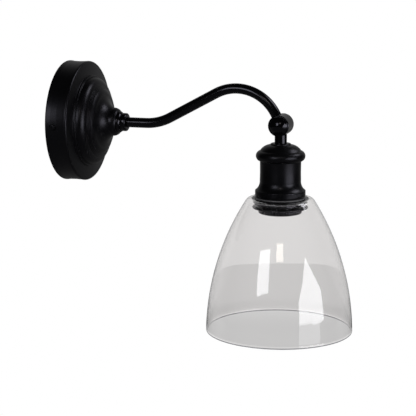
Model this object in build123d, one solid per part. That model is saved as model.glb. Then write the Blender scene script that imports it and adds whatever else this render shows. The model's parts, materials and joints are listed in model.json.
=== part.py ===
"""Wall lamp: spun steel wall cup, swan-neck arm, tilting knuckle, lampholder and clear glass shade.

Millimetres. The origin lies on the wall plane at the axis of the wall cup.
+X points out of the wall, +Z is up, and the arm lies in the plane Y = 0.
"""
import os
from math import cos, radians, sin, sqrt, tan

from build123d import *

# Wall cup: a spun shell that stands on the wall, turned about the X axis
CUP_RADIUS = 62.5
CUP_RIM_DEPTH = 22.9
CUP_RIM_ROUND = 2.4
CUP_WALL = 1.6
CUP_FACE_RISE = 1.4
CUP_BEAD_RADIUS = 47.6
CUP_BEAD_HEIGHT = 2.4
CUP_BEAD_ROUND = 1.0
CUP_BAND_INSET = 1.8
CUP_BAND_WIDTH = 6.2
CUP_BAND_HEIGHT = 6.9
CUP_BAND_ROUND = 7.2
CUP_RIDGES = 2
CUP_RIDGE_WIDTH = 1.4
CUP_RIDGE_HEIGHT = 0.9
CUP_BELL_MID_RADIUS = 33.9
CUP_BELL_MID_HEIGHT = 2.7
CUP_BELL_SHOULDER_ROUND = 2.4
CUP_BELL_FLARE_ROUND = 15.1
CUP_NECK_RADIUS = 14.7
CUP_NECK_HEIGHT = 11.9
CUP_NOSE_RADIUS = 12.2
CUP_NOSE_LENGTH = 6.4
CUP_NOSE_ROUND = 8.0
CUP_NOSE_WALL = 4.0
CUP_NUT_WELL_RADIUS = 10.5

# Side screws that hold the cup on its bracket
CUP_SCREW_FROM_WALL = 8.0
CUP_SCREW_RADIUS = 1.9
CUP_SCREW_LENGTH = 7.0
CUP_SCREW_HEAD_RADIUS = 3.2
CUP_SCREW_HEAD_HEIGHT = 1.9

# Wall bracket: a strap along Y with two turned-up lugs and a tongue below for the terminal block
BRACKET_THICKNESS = 1.6
BRACKET_WIDTH = 24.0
BRACKET_LUG_WIDTH = 14.0
BRACKET_LUG_HEIGHT = 14.0
BRACKET_SLOT_SPACING = 60.0
BRACKET_SLOT_LENGTH = 12.0
BRACKET_SLOT_HALF_WIDTH = 2.4
BRACKET_CABLE_HOLE_RADIUS = 7.0
BRACKET_TONGUE_LENGTH = 24.0
BRACKET_TONGUE_WIDTH = 16.0

# Earth screw on the strap
EARTH_SCREW_Y = 17.0
EARTH_SCREW_Z = 7.0
EARTH_SCREW_RADIUS = 1.9
EARTH_SCREW_HEAD_RADIUS = 3.4
EARTH_SCREW_HEAD_HEIGHT = 2.2
EARTH_TAG_RADIUS = 3.8
EARTH_TAG_THICKNESS = 0.8

# Terminal block with three poles side by side along Y
BLOCK_POLES = 3
BLOCK_POLE_PITCH = 10.0
BLOCK_DEPTH = 17.0
BLOCK_BASE_HEIGHT = 5.0
BLOCK_TOWER_HEIGHT = 7.5
BLOCK_TOWER_WIDTH = 8.2
BLOCK_TOP_Z = -15.0
BLOCK_BORE_RADIUS = 1.9
BLOCK_BORE_HEIGHT = 5.6
BLOCK_SCREW_SPACING = 9.0
BLOCK_SCREW_RADIUS = 1.7
BLOCK_SCREW_LENGTH = 3.4
BLOCK_SCREW_SUNK = 1.2
BLOCK_FIXING_RADIUS = 0.7
BLOCK_FIXING_HEAD_RADIUS = 0.82
BLOCK_FIXING_HEAD_HEIGHT = 1.0

# Arm: one bent tube, straight out of the cup, up a ramp, over a crest and down to the knuckle
ARM_RADIUS = 5.2
ARM_WALL = 1.0
ARM_INNER_END_X = 45.0
ARM_FIRST_BEND_X = 86.6
ARM_RISE_ANGLE = 28.3
ARM_RISE_BEND = 54.3
ARM_RAMP_LENGTH = 56.5
ARM_CREST_BEND = 46.0
ARM_DROP_ANGLE = 62.1
ARM_END_RUN = 0.6
ARM_END_TO_PIVOT = 11.6

# Collar on the arm in front of the cup, with the nut and washer behind the cup's nose
COLLAR_FOOT_RADIUS = 11.2
COLLAR_FOOT_LENGTH = 3.4
COLLAR_FOOT_ROUND = 4.0
COLLAR_GROOVE_RADIUS = 8.7
COLLAR_GROOVE_WIDTH = 1.0
COLLAR_BEAD_RADIUS = 9.4
COLLAR_BEAD_LENGTH = 4.8
COLLAR_BEAD_ROUND = 1.7
GRUB_RADIUS = 1.6
GRUB_SUNK = 0.4
LOCK_NUT_RADIUS = 8.0
LOCK_NUT_HEIGHT = 3.4
LOCK_WASHER_RADIUS = 8.6
LOCK_WASHER_THICKNESS = 1.0

# Knuckle: two half barrels that turn on one another about the Y axis
KNUCKLE_RADIUS = 10.75
KNUCKLE_LENGTH = 18.6
KNUCKLE_WEB = 1.6
KNUCKLE_CHAMBER_RADIUS = 8.4
KNUCKLE_FACE_GAP = 0.3
KNUCKLE_NECK_GAP = 0.4
KNUCKLE_CAP_DOME = 2.2
KNUCKLE_CAP_PLUG = 1.0
KNUCKLE_EDGE_ROUND = 0.6
SPIGOT_RADIUS = 4.8
SPIGOT_BORE_RADIUS = 3.4
SPIGOT_PAST_NUT = 0.3
PIVOT_WASHER_RADIUS = 6.2
PIVOT_WASHER_THICKNESS = 0.4
PIVOT_NUT_RADIUS = 6.2
PIVOT_NUT_HEIGHT = 1.8
FRICTION_RING_RADIUS = 7.8
FRICTION_RING_THICKNESS = 0.8
ARM_PLUG_LENGTH = 3.6
ARM_PLUG_CLEARANCE = 0.3
ARM_PLUG_WALL = 1.0

# Stem of the head: a plain neck that ends in a threaded tail
STEM_RADIUS = 6.2
STEM_LENGTH = 18.5
STEM_TAIL_RADIUS = 4.95
STEM_TAIL_LENGTH = 12.0
STEM_BORE_RADIUS = 3.4
STEM_BORE_TOP = 13.0

# Holder cup: the turned cover over the lampholder, measured down from its top
HOLDER_WALL = 1.25
HOLDER_TOP_THICKNESS = 2.7
HOLDER_COLLAR_RADIUS = 10.3
HOLDER_COLLAR_HEIGHT = 1.4
HOLDER_COLLAR_ROUND = 0.8
HOLDER_DOME_HEIGHT = 6.0
HOLDER_DOME_ROUND = 12.5
HOLDER_BEAD_HEIGHT = 10.6
HOLDER_BEAD_BULGE = 4.15
HOLDER_RADIUS = 20.85
HOLDER_SLEEVE_HEIGHT = 20.0
HOLDER_FLARE_HEIGHT = 9.2
HOLDER_FLARE_ROUND = 12.0
HOLDER_FOOT_RADIUS = 25.6
HOLDER_FOOT_HEIGHT = 7.5
HOLDER_FOOT_ROUND = 2.2

# Lampholder inside the holder cup
SOCKET_RADIUS = 19.3
SOCKET_NECK_RADIUS = 8.2
SOCKET_NECK_HEIGHT = 9.0
SOCKET_CAP_HEIGHT = 12.0
SOCKET_WALL = 2.0
SOCKET_SLEEVE_HEIGHT = 48.0
SOCKET_MOUTH_RADIUS = 14.1
INSERT_RADIUS = 16.6
INSERT_HEIGHT = 17.0
INSERT_ABOVE_SLEEVE = 6.0
INSERT_WELL_RADIUS = 10.5
INSERT_WELL_DEPTH = 4.0
SHELL_RADIUS = 13.3
SHELL_WALL = 0.4
SHELL_LENGTH = 30.0
CONTACT_LENGTH = 15.0
CONTACT_WIDTH = 6.0
CONTACT_THICKNESS = 0.8
CONTACT_BUTTON_RADIUS = 2.4
CONTACT_BUTTON_HEIGHT = 2.4
TERMINAL_OFFSET = 10.0
TERMINAL_RADIUS = 2.4
TERMINAL_HEAD_HEIGHT = 1.6

# Glass shade, its gaskets and the two rings that clamp it to the lampholder
GASKET_RADIUS = 23.4
GASKET_THICKNESS = 0.8
LOWER_GASKET_RADIUS = 27.5
LOWER_GASKET_THICKNESS = 1.6
SHADE_HEIGHT = 138.2
SHADE_RIM_RADIUS = 75.2
SHADE_SHOULDER_RADIUS = 33.1
SHADE_SIDE_CURVE = 263.0
SHADE_SHOULDER_ROUND = 4.6
SHADE_WALL = 2.8
SHADE_TOP_THICKNESS = 3.0
SHADE_HOLE_RADIUS = 20.8
SHADE_RIM_ROUND = 1.2
RING_RADIUS = 26.0
RING_HEIGHT = 2.4
RING_GAP = 2.0
LOCK_RING_FLANGE_RADIUS = 28.2
LOCK_RING_FLANGE_THICKNESS = 1.6
LOCK_RING_SKIRT_RADIUS = 22.3
LOCK_RING_HEIGHT = 6.6
RING_ROUND = 0.5

# Wiring: a sleeved pair through the arm and the knuckle, with two cores at each end
FLEX_RADIUS = 1.3
FLEX_HOLE_RADIUS = 1.65
CORE_RADIUS = 0.6
CORE_OFFSET = 0.68
FLEX_END_X = 37.0
FLEX_ARM_DEPTH = 6.4
FLEX_ARM_REACH = 15.0
FLEX_HEAD_DEPTH = 8.8
FLEX_HEAD_REACH = 17.0
FLEX_TURN = 3.8
FLEX_EASE = 11.4
FLEX_TAIL = 3.0
CORE_SWEEP = 12.0
CORE_BEND = 5.0
CORE_TIGHT_BEND = 1.2
EARTH_WIRE_BENDS = 4.0, 3.0

# Clearances
SLIDE = 0.05
LOOSE = 0.25
SPLIT = 0.02


def about_x(profile):
    """Turns a closed (radius, distance) outline about the X axis."""
    return Rot(0, 0, -90) * revolve(make_face(profile), Axis.Y)


def about_y(profile):
    """Turns a closed (radius, distance) outline about the Y axis."""
    return revolve(make_face(profile), Axis.Y)


def about_z(profile):
    """Turns a closed (radius, distance) outline about the Z axis."""
    return Rot(90, 0, 0) * revolve(make_face(profile), Axis.Y)


def ring_x(outer, inner, start, end):
    """A plain ring on the X axis, or a disc where inner is zero."""
    return about_x(Polyline((inner, start), (outer, start), (outer, end), (inner, end), close=True))


def ring_y(outer, inner, start, end):
    """A plain ring on the Y axis, or a disc where inner is zero."""
    return about_y(Polyline((inner, start), (outer, start), (outer, end), (inner, end), close=True))


def ring_z(outer, inner, start, end):
    """A plain ring on the Z axis, or a disc where inner is zero."""
    return about_z(Polyline((inner, start), (outer, start), (outer, end), (inner, end), close=True))


def rod(start, end, radius):
    """A round rod from one point to another."""
    axis = Vector(*end) - Vector(*start)
    return extrude(Plane(origin=start, z_dir=axis) * Circle(radius), axis.length)


def tube_along(path, radius):
    """A solid tube along a path of straight runs and tangent arcs."""
    return sweep(Plane(origin=path @ 0, z_dir=path % 0) * Circle(radius), path=path)


def across_y(solid):
    """The mirror image on the other side of the plane Y = 0."""
    return mirror(solid, about=Plane.XZ)


# Places along the wall cup, as distances from the wall
face_x = CUP_RIM_DEPTH + CUP_FACE_RISE
bead_x = face_x + CUP_BEAD_HEIGHT
band_x = bead_x + CUP_BAND_HEIGHT
band_foot_radius = CUP_BEAD_RADIUS - CUP_BAND_INSET
band_top_radius = band_foot_radius - CUP_BAND_WIDTH
bell_x = band_x + CUP_RIDGES * CUP_RIDGE_HEIGHT
bell_radius = band_top_radius - (CUP_RIDGES + 0.5) * CUP_RIDGE_WIDTH
bell_mid_x = bell_x + CUP_BELL_MID_HEIGHT
neck_x = bell_mid_x + CUP_NECK_HEIGHT
nose_x = neck_x + CUP_NOSE_LENGTH
nose_seat_x = nose_x - CUP_NOSE_WALL
cup_bore_radius = CUP_RADIUS - CUP_WALL

# Places along the arm, in the plane Y = 0
rise = radians(ARM_RISE_ANGLE)
drop = radians(ARM_DROP_ANGLE)
ramp_direction = Vector(cos(rise), 0, sin(rise))
drop_direction = Vector(cos(drop), 0, -sin(drop))
rise_tangent = ARM_RISE_BEND * tan(rise / 2)
crest_tangent = ARM_CREST_BEND * tan((rise + drop) / 2)
arm_corner_low = Vector(ARM_FIRST_BEND_X + rise_tangent, 0, 0)
arm_corner_high = arm_corner_low + ramp_direction * (rise_tangent + ARM_RAMP_LENGTH + crest_tangent)
arm_end = arm_corner_high + drop_direction * (crest_tangent + ARM_END_RUN)
pivot = arm_end + drop_direction * ARM_END_TO_PIVOT
arm_bore_radius = ARM_RADIUS - ARM_WALL

# Places along the head, as heights above the knuckle's pivot
half_length = KNUCKLE_LENGTH / 2
half_gap = KNUCKLE_FACE_GAP / 2
web_y = half_gap + KNUCKLE_WEB
holder_top = -STEM_LENGTH
holder_seat = holder_top - HOLDER_TOP_THICKNESS
dome_top = holder_top - HOLDER_COLLAR_HEIGHT
bead_top = dome_top - HOLDER_DOME_HEIGHT
bead_bottom = bead_top - HOLDER_BEAD_HEIGHT
flare_top = bead_bottom - HOLDER_SLEEVE_HEIGHT
foot_top = flare_top - HOLDER_FLARE_HEIGHT
holder_bottom = foot_top - HOLDER_FOOT_HEIGHT
holder_bore_radius = HOLDER_RADIUS - HOLDER_WALL
shade_top = holder_bottom - GASKET_THICKNESS
shade_inner_top = shade_top - SHADE_TOP_THICKNESS
shade_rim = shade_top - SHADE_HEIGHT
ring_top = shade_inner_top - LOWER_GASKET_THICKNESS
ring_bottom = ring_top - RING_HEIGHT
lock_ring_top = ring_bottom - RING_GAP
lock_ring_bottom = lock_ring_top - LOCK_RING_HEIGHT
socket_shoulder = holder_seat - SOCKET_NECK_HEIGHT
sleeve_top = socket_shoulder - SOCKET_CAP_HEIGHT
sleeve_bottom = sleeve_top - SOCKET_SLEEVE_HEIGHT
insert_top = sleeve_top + INSERT_ABOVE_SLEEVE
shell_top = insert_top - INSERT_HEIGHT
at_pivot = Pos(pivot.X, pivot.Y, pivot.Z)
arm_turn = Rot(0, ARM_DROP_ANGLE - 90, 0)


def wall_cup():
    """The spun cup: rim, face, bead, rounded band, fine ridges, bell and nose."""
    lines = [Line((0, 0), (CUP_RADIUS, 0))]
    lines += [Line((CUP_RADIUS, 0), (CUP_RADIUS, CUP_RIM_DEPTH - CUP_RIM_ROUND))]
    rim_corner = (CUP_RADIUS - CUP_RIM_ROUND, CUP_RIM_DEPTH)
    lines += [RadiusArc((CUP_RADIUS, CUP_RIM_DEPTH - CUP_RIM_ROUND), rim_corner, -CUP_RIM_ROUND)]
    lines += [Line(rim_corner, (CUP_BEAD_RADIUS, face_x))]
    bead_edge = (CUP_BEAD_RADIUS, bead_x - CUP_BEAD_ROUND)
    bead_crown = (CUP_BEAD_RADIUS - CUP_BEAD_ROUND, bead_x)
    lines += [Line((CUP_BEAD_RADIUS, face_x), bead_edge)]
    lines += [RadiusArc(bead_edge, bead_crown, -CUP_BEAD_ROUND)]
    lines += [Line(bead_crown, (band_foot_radius, bead_x))]
    last = (band_top_radius, band_x)
    lines += [RadiusArc((band_foot_radius, bead_x), last, -CUP_BAND_ROUND)]
    for ridge in range(CUP_RIDGES):
        edge = (last[0] - CUP_RIDGE_WIDTH, last[1])
        crown = (edge[0], edge[1] + CUP_RIDGE_HEIGHT)
        lines += [Line(last, edge), Line(edge, crown)]
        last = crown
    bell_mid = (CUP_BELL_MID_RADIUS, bell_mid_x)
    neck = (CUP_NECK_RADIUS, neck_x)
    nose = (CUP_NOSE_RADIUS, nose_x)
    lines += [Line(last, (bell_radius, bell_x))]
    lines += [RadiusArc((bell_radius, bell_x), bell_mid, -CUP_BELL_SHOULDER_ROUND)]
    lines += [RadiusArc(bell_mid, neck, CUP_BELL_FLARE_ROUND)]
    lines += [RadiusArc(neck, nose, -CUP_NOSE_ROUND)]
    lines += [Line(nose, (0, nose_x)), Line((0, nose_x), (0, 0))]
    flare_start = (CUP_BELL_MID_RADIUS, bell_mid_x - CUP_WALL)
    flare_end = (CUP_NECK_RADIUS - CUP_WALL, neck_x)
    hollow = [
        Polyline(
            (0, nose_seat_x),
            (0, 0),
            (cup_bore_radius, 0),
            (cup_bore_radius, CUP_RIM_DEPTH - CUP_WALL),
            (CUP_BEAD_RADIUS - CUP_WALL, face_x - CUP_WALL),
            (band_foot_radius - CUP_WALL, bead_x - CUP_WALL),
            (band_top_radius - CUP_WALL, band_x - CUP_WALL),
            (bell_radius - CUP_WALL, bell_x - CUP_WALL),
            flare_start,
        )
    ]
    hollow += [RadiusArc(flare_start, flare_end, CUP_BELL_FLARE_ROUND + CUP_WALL)]
    well = (CUP_NUT_WELL_RADIUS, neck_x), (CUP_NUT_WELL_RADIUS, nose_seat_x)
    hollow += [Polyline(flare_end, *well, (0, nose_seat_x))]
    shell = about_x(Curve() + lines) - about_x(Curve() + hollow)
    shell -= ring_x(ARM_RADIUS + SLIDE, 0, nose_seat_x - 1, nose_x + 1)
    side = (CUP_SCREW_FROM_WALL, -CUP_RADIUS - 1, 0)
    other_side = (CUP_SCREW_FROM_WALL, CUP_RADIUS + 1, 0)
    return shell - rod(side, other_side, CUP_SCREW_RADIUS + LOOSE)


def cup_screws():
    """Two pan-head screws, through the cup's rim into the bracket's lugs."""
    seat = CUP_RADIUS + SLIDE
    shank = rod(
        (CUP_SCREW_FROM_WALL, seat, 0),
        (CUP_SCREW_FROM_WALL, seat - CUP_SCREW_LENGTH, 0),
        CUP_SCREW_RADIUS,
    )
    head = rod(
        (CUP_SCREW_FROM_WALL, seat, 0),
        (CUP_SCREW_FROM_WALL, seat + CUP_SCREW_HEAD_HEIGHT, 0),
        CUP_SCREW_HEAD_RADIUS,
    )
    head = fillet(head.edges().sort_by(Axis.Y)[-1], CUP_SCREW_HEAD_HEIGHT / 2)
    slot = Pos(CUP_SCREW_FROM_WALL, seat + CUP_SCREW_HEAD_HEIGHT, 0) * Box(
        2 * CUP_SCREW_HEAD_RADIUS, CUP_SCREW_HEAD_HEIGHT, CUP_SCREW_RADIUS / 2
    )
    screw = shank + (head - slot)
    return [screw, across_y(screw)]


def wall_bracket():
    """The strap on the wall, with slots, a cable hole, two lugs and the tongue."""
    lug_outer = cup_bore_radius - LOOSE
    reach = sqrt(lug_outer**2 - (BRACKET_LUG_WIDTH / 2) ** 2)
    flat = Align.MIN, Align.CENTER, Align.CENTER
    strap = Box(BRACKET_THICKNESS, 2 * reach, BRACKET_LUG_WIDTH, align=flat)
    middle = BRACKET_SLOT_SPACING + 2 * BRACKET_SLOT_LENGTH
    strap += Box(BRACKET_THICKNESS, middle, BRACKET_WIDTH, align=flat)
    tongue = BRACKET_TONGUE_LENGTH + BRACKET_WIDTH / 2
    strap += Box(
        BRACKET_THICKNESS, BRACKET_TONGUE_WIDTH, tongue, align=(Align.MIN, Align.CENTER, Align.MAX)
    )
    slot_run = BRACKET_SLOT_LENGTH - 2 * BRACKET_SLOT_HALF_WIDTH
    for side in (-1, 1):
        lug = Pos(0, side * (reach - BRACKET_THICKNESS / 2), 0) * Box(
            BRACKET_LUG_HEIGHT, BRACKET_THICKNESS, BRACKET_LUG_WIDTH, align=flat
        )
        slot_plane = Plane.YZ * Pos(side * BRACKET_SLOT_SPACING / 2, 0)
        slot_outline = slot_plane * SlotCenterToCenter(slot_run, 2 * BRACKET_SLOT_HALF_WIDTH)
        slot = extrude(slot_outline, BRACKET_THICKNESS)
        strap = strap + lug - slot
    screw_line = CUP_SCREW_FROM_WALL, -CUP_RADIUS, 0
    strap -= rod(screw_line, (CUP_SCREW_FROM_WALL, CUP_RADIUS, 0), CUP_SCREW_RADIUS + SLIDE)
    strap -= ring_x(BRACKET_CABLE_HOLE_RADIUS, 0, 0, BRACKET_THICKNESS)
    strap -= earth_place() * ring_x(EARTH_SCREW_RADIUS + SLIDE, 0, 0, BRACKET_THICKNESS)
    strap -= fixing_place() * ring_x(BLOCK_FIXING_RADIUS + SLIDE, 0, 0, BRACKET_THICKNESS)
    return strap


def earth_place():
    """Where the earth screw stands on the strap."""
    return Pos(0, EARTH_SCREW_Y, EARTH_SCREW_Z)


def fixing_place():
    """Where the terminal block's fixing screw stands, between the first two poles."""
    return Pos(0, -BLOCK_POLE_PITCH / 2, BLOCK_TOP_Z - BLOCK_DEPTH / 2)


def earth_tag():
    """The ring tag that the earth screw clamps on the strap."""
    tag = ring_x(EARTH_TAG_RADIUS, EARTH_SCREW_RADIUS + SLIDE, 0, EARTH_TAG_THICKNESS)
    return Pos(BRACKET_THICKNESS, 0, 0) * earth_place() * tag


def earth_screw():
    """The screw that clamps the earth tag."""
    seat = BRACKET_THICKNESS + EARTH_TAG_THICKNESS
    top = seat + EARTH_SCREW_HEAD_HEIGHT
    screw = ring_x(EARTH_SCREW_RADIUS, 0, SPLIT, seat) + ring_x(EARTH_SCREW_HEAD_RADIUS, 0, seat, top)
    slot = Pos(top, 0, 0) * Box(EARTH_SCREW_HEAD_HEIGHT, 2 * EARTH_SCREW_HEAD_RADIUS, EARTH_SCREW_RADIUS / 2)
    return earth_place() * (screw - slot)


def pole_y(pole):
    """The place along Y of one pole of the terminal block."""
    return (pole - (BLOCK_POLES - 1) / 2) * BLOCK_POLE_PITCH


def block_screw_z(row):
    """The height of a row of clamp screws, 0 for the upper and 1 for the lower."""
    return BLOCK_TOP_Z - BLOCK_DEPTH / 2 + (0.5 - row) * BLOCK_SCREW_SPACING


def terminal_block():
    """A moulded strip with one tower, one wire bore and two screw wells for each pole."""
    corner = Align.MIN, Align.CENTER, Align.MAX
    base = Box(BLOCK_BASE_HEIGHT, BLOCK_POLES * BLOCK_POLE_PITCH, BLOCK_DEPTH, align=corner)
    block = Pos(BRACKET_THICKNESS, 0, BLOCK_TOP_Z) * base
    height = BLOCK_BASE_HEIGHT + BLOCK_TOWER_HEIGHT
    for pole in range(BLOCK_POLES):
        tower = Box(height, BLOCK_TOWER_WIDTH, BLOCK_DEPTH, align=corner)
        block += Pos(BRACKET_THICKNESS, pole_y(pole), BLOCK_TOP_Z) * tower
    bore_x = BRACKET_THICKNESS + BLOCK_BORE_HEIGHT
    for pole in range(BLOCK_POLES):
        bore_top = bore_x, pole_y(pole), BLOCK_TOP_Z
        block -= rod(bore_top, (bore_x, pole_y(pole), BLOCK_TOP_Z - BLOCK_DEPTH), BLOCK_BORE_RADIUS)
        for row in range(2):
            well = bore_x, pole_y(pole), block_screw_z(row)
            mouth = BRACKET_THICKNESS + height, pole_y(pole), block_screw_z(row)
            block -= rod(well, mouth, BLOCK_SCREW_RADIUS + SLIDE)
    hole = ring_x(BLOCK_FIXING_RADIUS + SLIDE, 0, BRACKET_THICKNESS, BRACKET_THICKNESS + BLOCK_BASE_HEIGHT)
    return block - fixing_place() * hole


def terminal_block_screws():
    """Slotted clamp screws, sunk in the towers, two for each pole."""
    screws = []
    top = BRACKET_THICKNESS + BLOCK_BASE_HEIGHT + BLOCK_TOWER_HEIGHT - BLOCK_SCREW_SUNK
    for pole in range(BLOCK_POLES):
        for row in range(2):
            screw = ring_x(BLOCK_SCREW_RADIUS, 0, top - BLOCK_SCREW_LENGTH, top)
            slot = Pos(top, 0, 0) * Box(BLOCK_SCREW_RADIUS, 2 * BLOCK_SCREW_RADIUS, BLOCK_SCREW_RADIUS / 3)
            screws += [Pos(0, pole_y(pole), block_screw_z(row)) * (screw - slot)]
    return screws


def terminal_block_fixing():
    """The thin screw between two towers that holds the block on the tongue."""
    seat = BRACKET_THICKNESS + BLOCK_BASE_HEIGHT
    shank = ring_x(BLOCK_FIXING_RADIUS, 0, SPLIT, seat)
    head = ring_x(BLOCK_FIXING_HEAD_RADIUS, 0, seat, seat + BLOCK_FIXING_HEAD_HEIGHT)
    return fixing_place() * (shank + head)


def arm_path():
    """The centreline of the arm from its end inside the cup to its end at the knuckle."""
    points = (ARM_INNER_END_X, 0, 0), arm_corner_low, arm_corner_high, arm_end
    return FilletPolyline(*points, radius=[ARM_RISE_BEND, ARM_CREST_BEND])


def arm_tube():
    """The bent arm."""
    return tube_along(arm_path(), ARM_RADIUS) - tube_along(arm_path(), arm_bore_radius)


def arm_collar():
    """The turned collar in front of the cup's nose."""
    bore = ARM_RADIUS + SLIDE
    foot_x = nose_x + COLLAR_FOOT_LENGTH
    groove_x = foot_x + COLLAR_GROOVE_WIDTH
    end_x = groove_x + COLLAR_BEAD_LENGTH
    lines = [Line((bore, nose_x), (COLLAR_FOOT_RADIUS, nose_x))]
    lines += [RadiusArc((COLLAR_FOOT_RADIUS, nose_x), (COLLAR_BEAD_RADIUS, foot_x), -COLLAR_FOOT_ROUND)]
    lines += [
        Polyline(
            (COLLAR_BEAD_RADIUS, foot_x),
            (COLLAR_GROOVE_RADIUS, foot_x),
            (COLLAR_GROOVE_RADIUS, groove_x),
            (COLLAR_BEAD_RADIUS, groove_x),
            (COLLAR_BEAD_RADIUS, end_x - COLLAR_BEAD_ROUND),
        )
    ]
    end_corner = (COLLAR_BEAD_RADIUS - COLLAR_BEAD_ROUND, end_x)
    lines += [RadiusArc((COLLAR_BEAD_RADIUS, end_x - COLLAR_BEAD_ROUND), end_corner, -COLLAR_BEAD_ROUND)]
    lines += [Polyline(end_corner, (bore, end_x), (bore, nose_x))]
    return about_x(Curve() + lines) - rod((grub_x(), 0, 0), (grub_x(), -CUP_RADIUS, 0), GRUB_RADIUS + SLIDE)


def grub_x():
    """The place of the grub screw, midway along the collar's bead."""
    return nose_x + COLLAR_FOOT_LENGTH + COLLAR_GROOVE_WIDTH + COLLAR_BEAD_LENGTH / 2


def collar_grub_screw():
    """The slotted grub screw that locks the collar on the arm."""
    mouth = COLLAR_BEAD_RADIUS - GRUB_SUNK
    screw = rod((grub_x(), -ARM_RADIUS - SLIDE, 0), (grub_x(), -mouth, 0), GRUB_RADIUS)
    slot = Pos(grub_x(), -mouth, 0) * Box(2 * GRUB_RADIUS, GRUB_RADIUS, GRUB_RADIUS / 3)
    return screw - slot


def arm_lock_washer():
    """The washer between the lock nut and the cup's nose."""
    bore = ARM_RADIUS + SLIDE
    return ring_x(LOCK_WASHER_RADIUS, bore, nose_seat_x - LOCK_WASHER_THICKNESS, nose_seat_x)


def arm_lock_nut():
    """The hexagon nut on the arm inside the cup."""
    seat = nose_seat_x - LOCK_WASHER_THICKNESS
    hexagon = extrude(Plane.YZ * RegularPolygon(LOCK_NUT_RADIUS, 6), LOCK_NUT_HEIGHT)
    nut = Pos(seat - LOCK_NUT_HEIGHT, 0, 0) * hexagon
    return nut - ring_x(ARM_RADIUS + SLIDE, 0, seat - LOCK_NUT_HEIGHT, seat)


def half_barrel():
    """One half of the knuckle's barrel on the +Y side, before its neck is added."""
    return ring_y(KNUCKLE_RADIUS, 0, half_gap, half_length)


def neck_relief():
    """The room that a neck on the +Y half leaves round the other half."""
    return ring_y(KNUCKLE_RADIUS + KNUCKLE_NECK_GAP, 0, -2 * KNUCKLE_LENGTH, half_gap)


def flex_line(depth, reach):
    """The slanting run of the wiring between the pivot's axis and a neck that points up."""
    return (0, depth, 0), (0, 0, reach)


def knuckle_arm_half():
    """The rear half: barrel, neck and plug towards the arm, and the hollow spigot of the pivot."""
    neck = rod((0, 0, 0), (0, 0, ARM_END_TO_PIVOT), ARM_RADIUS) - neck_relief()
    plug_end = ARM_END_TO_PIVOT + ARM_PLUG_LENGTH
    plug_radius = arm_bore_radius - ARM_PLUG_CLEARANCE
    plug = rod((0, 0, ARM_END_TO_PIVOT), (0, 0, plug_end), plug_radius)
    bore_start = KNUCKLE_CHAMBER_RADIUS + ARM_PLUG_WALL
    bore = rod((0, 0, bore_start), (0, 0, plug_end), plug_radius - ARM_PLUG_WALL)
    half = half_barrel() + neck + plug - bore
    half -= ring_y(KNUCKLE_CHAMBER_RADIUS, 0, web_y, half_length)
    half -= rod(*flex_line(FLEX_ARM_DEPTH, FLEX_ARM_REACH), FLEX_HOLE_RADIUS)
    recess = half_gap + FRICTION_RING_THICKNESS - KNUCKLE_FACE_GAP / 3
    half -= ring_y(FRICTION_RING_RADIUS + SLIDE, 0, half_gap, recess)
    spigot_end = -(pivot_nut_end() + SPIGOT_PAST_NUT)
    half += ring_y(SPIGOT_RADIUS, 0, spigot_end, web_y)
    half -= ring_y(SPIGOT_BORE_RADIUS, 0, spigot_end, web_y)
    return at_pivot * arm_turn * half


def pivot_nut_end():
    """How far the pivot nut reaches in front of the parting plane."""
    return web_y + SLIDE + PIVOT_WASHER_THICKNESS + PIVOT_NUT_HEIGHT


def knuckle_head_half():
    """The front half: barrel, stem neck and threaded tail."""
    neck = rod((0, 0, 0), (0, 0, STEM_LENGTH), STEM_RADIUS) - neck_relief()
    tail_end = STEM_LENGTH + STEM_TAIL_LENGTH
    tail = rod((0, 0, STEM_LENGTH), (0, 0, tail_end), STEM_TAIL_RADIUS)
    half = half_barrel() + neck + tail
    half -= rod((0, 0, STEM_BORE_TOP), (0, 0, tail_end), STEM_BORE_RADIUS)
    half -= ring_y(KNUCKLE_CHAMBER_RADIUS, 0, web_y, half_length)
    half -= rod(*flex_line(FLEX_HEAD_DEPTH, FLEX_HEAD_REACH), FLEX_HOLE_RADIUS)
    half -= ring_y(SPIGOT_RADIUS + SLIDE, 0, half_gap, web_y)
    return at_pivot * Rot(180, 0, 0) * half


def knuckle_cap():
    """A domed end cap with a plug, on the +Y side."""
    dome_end = half_length + KNUCKLE_CAP_DOME
    edge = half_length + KNUCKLE_EDGE_ROUND
    plug_radius = KNUCKLE_CHAMBER_RADIUS - SLIDE
    inner = half_length - KNUCKLE_CAP_PLUG
    dome_height = dome_end - edge
    dome_radius = (KNUCKLE_RADIUS**2 + dome_height**2) / (2 * dome_height)
    lines = [
        Polyline(
            (0, dome_end),
            (0, inner),
            (plug_radius, inner),
            (plug_radius, half_length),
            (KNUCKLE_RADIUS, half_length),
            (KNUCKLE_RADIUS, edge),
        )
    ]
    lines += [RadiusArc((KNUCKLE_RADIUS, edge), (0, dome_end), -dome_radius)]
    return about_y(Curve() + lines)


def knuckle_rear_cap():
    """The cap that closes the arm's half."""
    return at_pivot * knuckle_cap()


def knuckle_front_cap():
    """The cap that closes the head's half."""
    return at_pivot * across_y(knuckle_cap())


def friction_ring():
    """The fibre ring between the two halves, seated in the arm's half."""
    floor = half_gap + FRICTION_RING_THICKNESS - KNUCKLE_FACE_GAP / 3
    ring = ring_y(FRICTION_RING_RADIUS, SPIGOT_RADIUS + SLIDE, floor - FRICTION_RING_THICKNESS, floor)
    return at_pivot * ring


def pivot_washer():
    """The spring washer under the pivot nut."""
    start = web_y + SLIDE
    ring = ring_y(PIVOT_WASHER_RADIUS, SPIGOT_RADIUS + SLIDE, start, start + PIVOT_WASHER_THICKNESS)
    return at_pivot * across_y(ring)


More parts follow.
